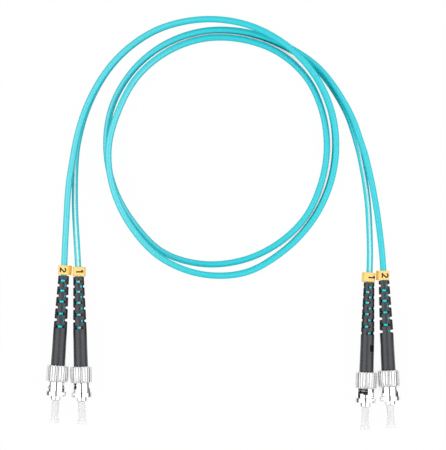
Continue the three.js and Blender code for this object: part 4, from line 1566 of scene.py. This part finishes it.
@dataclass
class SlottedBoot:
    """The rubber boot: a tapered sleeve with slots in two directions by turns, and a small pocket."""

    seat: PlugSeat
    finishes: Finishes
    length: float = 40.3 * MM
    base_diameter: float = 6.46 * MM
    shoulder_diameter: float = 6.12 * MM
    shoulder_from_tip: float = 24.2 * MM
    tip_diameter: float = 4.8 * MM
    bore_diameter: float = 3.4 * MM
    slots: int = 9
    bridge: float = 2.3 * MM
    slot_height: float = 0.82 * MM
    slot_flare: float = 0.34
    slot_round: float = 0.18 * MM
    first_slot: float = 2.2 * MM
    slot_pitch: float = 2.2 * MM
    pitch_growth: float = 0.11 * MM
    pocket: tuple[float, float, float] = (2.8 * MM, 2.9 * MM, 0.7 * MM)
    pocket_from_nut: float = 10.7 * MM
    pocket_round: float = 0.12 * MM
    socket: tuple[float, float] = (4.84 * MM, 9.0 * MM)
    neck: tuple[float, float] = (3.72 * MM, 12.2 * MM)
    edge_round: float = 0.1 * MM
    # how far under the surface the painted shade of the recesses begins and fades in
    shade_onset_depth: float = 0.12 * MM
    fading_depth: float = 0.3 * MM
    sides: int = 72

    def build(self) -> bpy.types.Object:
        """Makes the boot and ties it to the root.

        Returns:
            The boot.
        """
        tip = -self.length
        base, shoulder, end = (
            diameter / 2 for diameter in (self.base_diameter, self.shoulder_diameter, self.tip_diameter)
        )
        bore, socket, neck = (
            diameter / 2 for diameter in (self.bore_diameter, self.socket[0], self.neck[0])
        )
        socket_end, neck_end = -self.socket[1], -self.neck[1]
        profile = eased([
            (end, tip, 0.18 * MM), (shoulder, tip + self.shoulder_from_tip, 3 * MM),
            (base, -0.6 * MM, 0), (base, 0, 0.2 * MM), (socket, 0, 0.1 * MM), (socket, socket_end, 0),
            (neck, socket_end, 0), (neck, neck_end, 0), (bore, neck_end, 0), (bore, tip, 0.1 * MM),
        ])
        name = self.seat.lay.name
        piece = turned(f"boot_rubber_{name}", profile, self.sides)
        cut(piece, self._cutters(tip))
        soften(piece, self.edge_round, angle=38.0)
        shade(piece, 40.0)
        # painted shade: these marks darken the rubber inside the slots, the pocket and the bore
        mark_recess(piece, self._recess)
        piece.data.transform(self.seat.matrix(self.seat.lay.boot))
        return dress(piece, self.finishes.rubber, "root", (f"boot_{name}",))

    def _recess(self, radius: float, along: float) -> float:
        """How deep under the boot's outside a point is.

        Args:
            radius, along: the point's place in the boot.

        Returns:
            0 at the surface to 1 well inside.
        """
        shoulder = self.shoulder_from_tip - self.length
        diameter = np.interp(
            along, (-self.length, shoulder, 0.0),
            (self.tip_diameter, self.shoulder_diameter, self.base_diameter),
        )
        return min(max((diameter / 2 - radius - self.shade_onset_depth) / self.fading_depth, 0.0), 1.0)

    def _cutters(self, tip: float) -> list[bpy.types.Object]:
        """The cutters of the slots and the pocket.

        Args:
            tip: where the boot's thin end is on its axis.

        Returns:
            The cutters.
        """
        cutters = []
        along = tip + self.first_slot
        size = (self.base_diameter * 1.2, self.slot_height, self.base_diameter)
        centre_out = (self.bridge + size[2]) / 2
        for slot in range(self.slots):
            roll = 0.0 if slot % 2 == 0 else 90.0
            cutters += [
                box_cutter(size, (0, along, centre_out), roll + side, self.slot_round, self.slot_flare)
                for side in (0.0, 180.0)
            ]
            along += self.slot_pitch + self.pitch_growth * slot
        width, length, depth = self.pocket
        share = self.pocket_from_nut / (self.length - self.shoulder_from_tip)
        surface = (self.base_diameter + (self.shoulder_diameter - self.base_diameter) * share) / 2
        height = 2 * MM
        middle = (0, -self.pocket_from_nut, surface - depth + height / 2)
        cutters.append(box_cutter((width, length, height), middle, 0.0, self.pocket_round))
        return cutters


@dataclass
class Digit:
    """A plain printed 1 or 2, drawn as one stroke of even width, standing upright along +Y."""

    number: int
    height: float = 3.3 * MM
    width: float = 2.25 * MM
    stroke: float = 0.65 * MM
    segment: float = 0.2 * MM
    relief: float = 0.04 * MM
    depth: float = 0.1 * MM

    def _strokes(self) -> list[list[tuple[float, float]]]:
        """The digit's strokes.

        Returns:
            The middle line of each one, in shares of half the digit's width and half its height.
        """
        across, down = self.stroke / self.width, self.stroke / self.height
        if self.number == 1:
            return [[(0.15, -1.0), (0.15, 1.0)], [(0.15, 1.0 - down), (-0.62, 0.5)]]
        middle = 0.4
        bowl = [
            ((1.0 - across) * math.cos(turn), middle + (1.0 - down - middle) * math.sin(turn))
            for turn in np.linspace(math.radians(175), math.radians(-40), 18)
        ]
        return [[*bowl, (-0.55, -0.76)], [(-1.0, down - 1.0), (1.0, down - 1.0)]]

    def _refined(self, line: np.ndarray) -> np.ndarray:
        """A line with points no further apart than a segment, so that it can bend over an edge.

        Args:
            line: its corners.

        Returns:
            Its corners with the points between them.
        """
        points = [line[0]]
        for start, end in zip(line[:-1], line[1:]):
            count = math.ceil(np.linalg.norm(end - start) / self.segment)
            points += [start + (end - start) * step / count for step in range(1, count + 1)]
        return np.array(points)

    def build(self, name: str) -> bpy.types.Object:
        """Makes the digit round the origin, its face up.

        Args:
            name: the piece's name.

        Returns:
            The digit.
        """
        half = np.array([self.width / 2, self.height / 2])
        points: list[tuple[float, float, float]] = []
        faces: list[tuple[int, ...]] = []
        for number, stroke in enumerate(self._strokes()):
            line = self._refined(np.array(stroke) * half)
            along = np.gradient(line, axis=0)
            along /= np.linalg.norm(along, axis=1)[:, None]
            side = np.stack([-along[:, 1], along[:, 0]], axis=1) * self.stroke / 2
            top = self.relief * (1 + 0.1 * number)
            edges = (line + side, line - side)
            corners = [(edges[0], top), (edges[1], top), (edges[1], -self.depth), (edges[0], -self.depth)]
            first = len(points)
            points += [(*edge[i], height) for i in range(len(line)) for edge, height in corners]
            faces += [tuple(first + corner for corner in face) for face in skin_faces(len(line), 4, False)]
        piece = new_piece(name, points, faces)
        face_outwards(piece)
        return piece


@dataclass
class NumberRing:
    """The loose amber ring behind the boot, with its cord's number on it."""

    seat: PlugSeat
    finishes: Finishes
    boot_length: float = 40.3 * MM
    width: float = 5.4 * MM
    thickness: float = 4.0 * MM
    length: float = 4.2 * MM
    corner: float = 0.8 * MM
    hole_width: float = 4.4 * MM
    hole_height: float = 3.24 * MM
    edge: float = 0.16 * MM
    samples: int = 72

    @staticmethod
    def _reach(angle: float, width: float, height: float, corner: float) -> float:
        """How far a rounded rectangle reaches from its middle.

        Args:
            angle: the direction, from +Z.
            width, height: its sizes.
            corner: the radius of its corners.

        Returns:
            The distance from its middle to its edge.
        """
        direction = Vector((abs(math.sin(angle)), abs(math.cos(angle))))
        inner = Vector((width / 2 - corner, height / 2 - corner))
        flat_x = width / 2 / direction.x if direction.x > 1e-9 else math.inf
        flat_y = height / 2 / direction.y if direction.y > 1e-9 else math.inf
        reach = min(flat_x, flat_y)
        hit = direction * reach
        if hit.x > inner.x and hit.y > inner.y:
            along = direction.dot(inner)
            reach = along + math.sqrt(max(along ** 2 - inner.length_squared + corner ** 2, 0.0))
        return reach

    def _outline(self, width: float, height: float, corner: float, along: float) -> list[tuple[float, ...]]:
        """A rounded rectangle round the ring's axis.

        Args:
            width, height: its sizes.
            corner: the radius of its corners.
            along: where it is on the axis.

        Returns:
            Its points.
        """
        points = []
        for i in range(self.samples):
            angle = 2 * math.pi * i / self.samples
            reach = self._reach(angle, width, height, corner)
            points.append((reach * math.sin(angle), along, reach * math.cos(angle)))
        return points

    def _matrix(self) -> Matrix:
        """Where the ring hangs.

        Returns:
            The matrix from the ring's own axis to its place on the leg behind the boot.
        """
        lay = self.seat.lay
        tip = self.seat.place(-self.boot_length)
        run = (Vector(lay.leg.points[-1]) - tip).normalized()
        side = Vector((0, 0, 1)).cross(run).normalized()
        up = run.cross(side)
        turn = Matrix((side, -run, up)).transposed().to_4x4()
        middle = tip + run * (lay.ring_gap + self.length / 2)
        return Matrix.Translation(middle) @ turn @ roll_about_axis(lay.ring)

    def build(self) -> list[bpy.types.Object]:
        """Makes the ring and its digit.

        Returns:
            The ring and the digit.
        """
        lay = self.seat.lay
        hang = lay.ring_hang * math.cos(math.radians(lay.ring))
        edge, length = self.edge, self.length
        hole = (self.hole_width, self.hole_height, self.hole_height / 2.2)
        mouth = (hole[0] + edge, hole[1] + edge, hole[2] + edge / 2)
        whole, eased_off, face = (
            (self.width - cut_off, self.thickness - cut_off, self.corner)
            for cut_off in (0, 0.6 * edge, 2 * edge)
        )
        rings = [self._outline(*outline, along) for outline, along in (
            (face, 0), (eased_off, 0.3 * edge), (whole, edge), (whole, length - edge),
            (eased_off, length - 0.3 * edge), (face, length), (mouth, length),
            (hole, length - edge), (hole, edge), (mouth, 0),
        )]
        ring = rings_piece(f"number_ring_{lay.name}", rings, closed=True)
        shade(ring, 50.0)
        # painted shade: the side of the ring towards the other plug of its pair gets the deeper colour
        inner = 1 if (lay.end is End.A) == (lay.cord == 1) else -1
        side = self.width / 2 - self.corner / 2
        mark(ring, "recess", [float(inner * vertex.co.x > side) for vertex in ring.data.vertices])
        askew = Matrix.Rotation(-math.radians(lay.ring_askew), 4, "Z")
        shift = Matrix.Translation(Vector((-hang, 0, 0))) @ askew
        centre = Matrix.Translation(Vector((0, -self.length / 2, 0)))
        digit = self._digit()
        for piece, material, nodes in (
            (ring, self.finishes.marker, (f"id_marker_{lay.name}",)), (digit, self.finishes.ink, ()),
        ):
            piece.data.transform(self._matrix() @ shift @ centre)
            dress(piece, material, f"marker_{lay.name}", nodes)
        return [ring, digit]

    def _digit(self) -> bpy.types.Object:
        """The printed number, lying on the ring's face with its top towards +X of the whole cord.

        Returns:
            The digit, on the ring's own axis.
        """
        lay = self.seat.lay
        digit = Digit(lay.cord).build(f"digit_{lay.name}")
        lift = Vector((-lay.digit_shift, self.length / 2, self.thickness / 2))
        digit.data.transform(Matrix.Translation(lift) @ Matrix.Rotation(math.pi / 2, 4, "Z"))
        for vertex in digit.data.vertices:
            past = min(max(abs(vertex.co.x) - self.width / 2 + self.corner, 0.0), 0.95 * self.corner)
            vertex.co.z -= self.corner - math.sqrt(self.corner ** 2 - past ** 2)
        return digit


# ---------------------------------------------------------------- the CAD nodes that stay


class KeptNode(Enum):
    """CAD nodes whose shape is right as it is, with the finish that each one gets."""

    CLIP = ("retaining_clip", "spring")
    WASHER = ("thrust_washer", "nickel")
    SLEEVE = ("crimp_sleeve", "nickel")
    YARN = ("aramid_yarn", "yarn")
    BUFFER = ("buffer_lead", "buffer")


def dress_kept_nodes(nodes: Mapping[str, bpy.types.Object], finishes: Finishes) -> None:
    """Gives each CAD node that stays its finish.

    Args:
        nodes: the frame's nodes.
        finishes: the finishes.
    """
    for lay in LAYS:
        for kept in KeptNode:
            stem, finish = kept.value
            piece = nodes[f"{stem}_{lay.name}"]
            piece.data.materials.clear()
            piece.data.materials.append(getattr(finishes, finish))
            LOG.info("%s keeps its shape", piece.name)


# ---------------------------------------------------------------- studio


@dataclass
class Studio:
    """A white table seen from straight above, with a softbox on either side."""

    view_centre: tuple[float, float] = (0.0, 0.0549)
    view_height: float = 2.0
    focus_height: float = 4.8 * MM
    frame_height: float = 0.2025
    sensor: float = 36.0
    table_size: float = 6.0
    table_gain: float = 0.9
    gap_reach: float = 15 * MM
    gap_ramp: tuple[float, float] = (0.03, 0.12)
    whiteness: float = 0.97
    paper: Colour = linear(250, 250, 250)
    fill: float = 0.5
    low_fill: float = 0.6
    box_size: tuple[float, float] = (1.2, 1.3)
    box_distance: float = 1.13
    box_lean: float = 42.0
    box_power: float = 6.0
    card_middle: tuple[float, float] = (70.5 * MM, -20 * MM)
    card_half: tuple[float, float] = (24 * MM, 24 * MM)
    card_fade: tuple[float, float] = (1.1, 0.9)
    dim: float = 0.1
    dark_across: tuple[float, float] = (0.17, 0.12)
    dark_up: tuple[float, float] = (0.2, 0.4)
    dark_depth: float = 0.92
    horizon: tuple[float, float] = (0.12, 0.05)
    horizon_depth: float = 0.85
    low_sky: tuple[float, float] = (0.55, 0.15)
    ray_kinds: tuple[str, ...] = ("Is Camera Ray", "Is Glossy Ray", "Is Transmission Ray")

    def build(self) -> None:
        """Makes the camera, the table, the lamps and the world."""
        self._camera()
        self._table()
        self._softboxes()
        self._world()

    def _camera(self) -> None:
        """The camera, straight above."""
        data = bpy.data.cameras.new("camera")
        data.sensor_width = self.sensor
        data.lens = self.sensor * (self.view_height - self.focus_height) / self.frame_height
        data.clip_end = 10 * self.view_height
        camera = bpy.data.objects.new("camera", data)
        camera.location = (*self.view_centre, self.view_height)
        bpy.context.scene.collection.objects.link(camera)
        bpy.context.scene.camera = camera

    def _table(self) -> None:
        """The white table: plain white to camera where it is lit, and plain white in reflections."""
        half = self.table_size / 2
        corners = [(-half, -half, 0), (half, -half, 0), (half, half, 0), (-half, half, 0)]
        table = new_piece("table", corners, [(0, 1, 2, 3)])
        material, graph = new_material("white_table")
        seen, mirrored, through = graph.outputs("LightPath", self.ray_kinds)
        lit = graph.node("BsdfDiffuse", values={"Color": self.paper})
        glow = graph.node("Emission", values={"Color": (1.0, 1.0, 1.0), "Strength": 1.0})
        open_sky = graph.node(
            "AmbientOcclusion", {"samples": 16}, {"Distance": self.gap_reach}, "AO",
        ).smooth(*self.gap_ramp)
        bright = graph.node("BsdfDiffuse", values={"Color": (self.table_gain,) * 3})
        open_table = graph.mix_shaders(open_sky * self.whiteness, bright, glow)
        shader = graph.mix_shaders(seen, lit, open_table)
        shader = graph.mix_shaders(mirrored, shader, self._reflected(graph, glow))
        graph.close(graph.mix_shaders(through, shader, glow))
        table.data.materials.append(material)

    def _reflected(self, graph: Graph, glow: Signal) -> Signal:
        """The table in reflections: a white card under each pair of plugs, and dim beyond it.

        Args:
            graph: the table's graph.
            glow: the card's shader.

        Returns:
            The shader.
        """
        across, ahead = graph.outputs("SeparateXYZ", ("X", "Y"), {0: graph.place()})
        (middle_x, middle_y), (half_x, half_y) = self.card_middle, self.card_half
        off_x = abs(abs(across) - middle_x) / half_x
        off_y = abs(ahead - middle_y) / half_y
        card = off_x.smooth(*self.card_fade) * off_y.smooth(*self.card_fade)
        dark = graph.node("Emission", values={"Color": (1.0, 1.0, 1.0), "Strength": self.dim})
        return graph.mix_shaders(card, dark, glow)

    def _softboxes(self) -> None:
        """One softbox on each side, hidden from the camera."""
        for side in (-1, 1):
            data = bpy.data.lights.new("softbox", "AREA")
            data.shape = "RECTANGLE"
            data.size, data.size_y = self.box_size
            data.energy = self.box_power
            lamp = bpy.data.objects.new("softbox", data)
            lean = math.radians(self.box_lean)
            middle = Vector((0, self.view_centre[1], 0))
            away = Vector((side * math.sin(lean), 0, math.cos(lean))) * self.box_distance
            lamp.location = middle + away
            aim = -away
            lamp.rotation_mode = "QUATERNION"
            lamp.rotation_quaternion = aim.to_track_quat("-Z", "Y")
            lamp.visible_camera = False
            bpy.context.scene.collection.objects.link(lamp)

    def _world(self) -> None:
        """White to the camera and in reflections, with the dark gaps of a studio, and a soft fill."""
        world = bpy.data.worlds.new("studio")
        bpy.context.scene.world = world
        world.use_nodes = True
        graph = Graph(world.node_tree)
        seen, mirrored, through = graph.outputs("LightPath", self.ray_kinds)
        direction = graph.node("TexCoord", output="Generated")
        across, up = graph.outputs("SeparateXYZ", ("X", "Z"), {0: direction})
        dark = abs(across).smooth(*self.dark_across) * up.smooth(*self.dark_up)
        mirror = 1.0 - self.dark_depth * dark - self.horizon_depth * up.smooth(*self.horizon)
        plain = seen + through
        fill = self.fill + self.low_fill * up.smooth(*self.low_sky)
        strength = plain + mirrored * mirror + (1.0 - plain - mirrored) * fill
        shader = graph.node("Background", values={"Color": (1.0, 1.0, 1.0), "Strength": strength})
        graph.close(shader, "OutputWorld")


# ---------------------------------------------------------------- everything together


def build_plug(seat: PlugSeat, finishes: Finishes) -> None:
    """Makes all the pieces of one plug.

    Args:
        seat: where the plug lies.
        finishes: the finishes.
    """
    plug = BayonetPlug(seat, finishes)
    steps: list[Callable[[], object]] = [
        SlottedBoot(seat, finishes).build, plug.build_nut, plug.build_body, plug.build_ferrule,
        plug.build_cap, plug.build_spring, NumberRing(seat, finishes).build,
    ]
    for step in steps:
        step()
    LOG.info("plug %s is dressed", seat.lay.name)


def main() -> None:
    """Builds the studio, the cords and the plugs around the frame."""
    logging.basicConfig(level=logging.INFO, format="%(message)s")
    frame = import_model()
    bpy.context.scene.view_settings.view_transform = "Standard"
    Studio().build()
    finishes = Finishes()
    seats = find_seats(frame["joints"])
    for number in (1, 2):
        cord = JacketedCord(number, finishes).build(seats)
        LOG.info("%s: %d faces", cord.name, len(cord.data.polygons))
    for seat in seats:
        build_plug(seat, finishes)
    dress_kept_nodes(frame["nodes"], finishes)


if __name__ == "__main__":
    main()
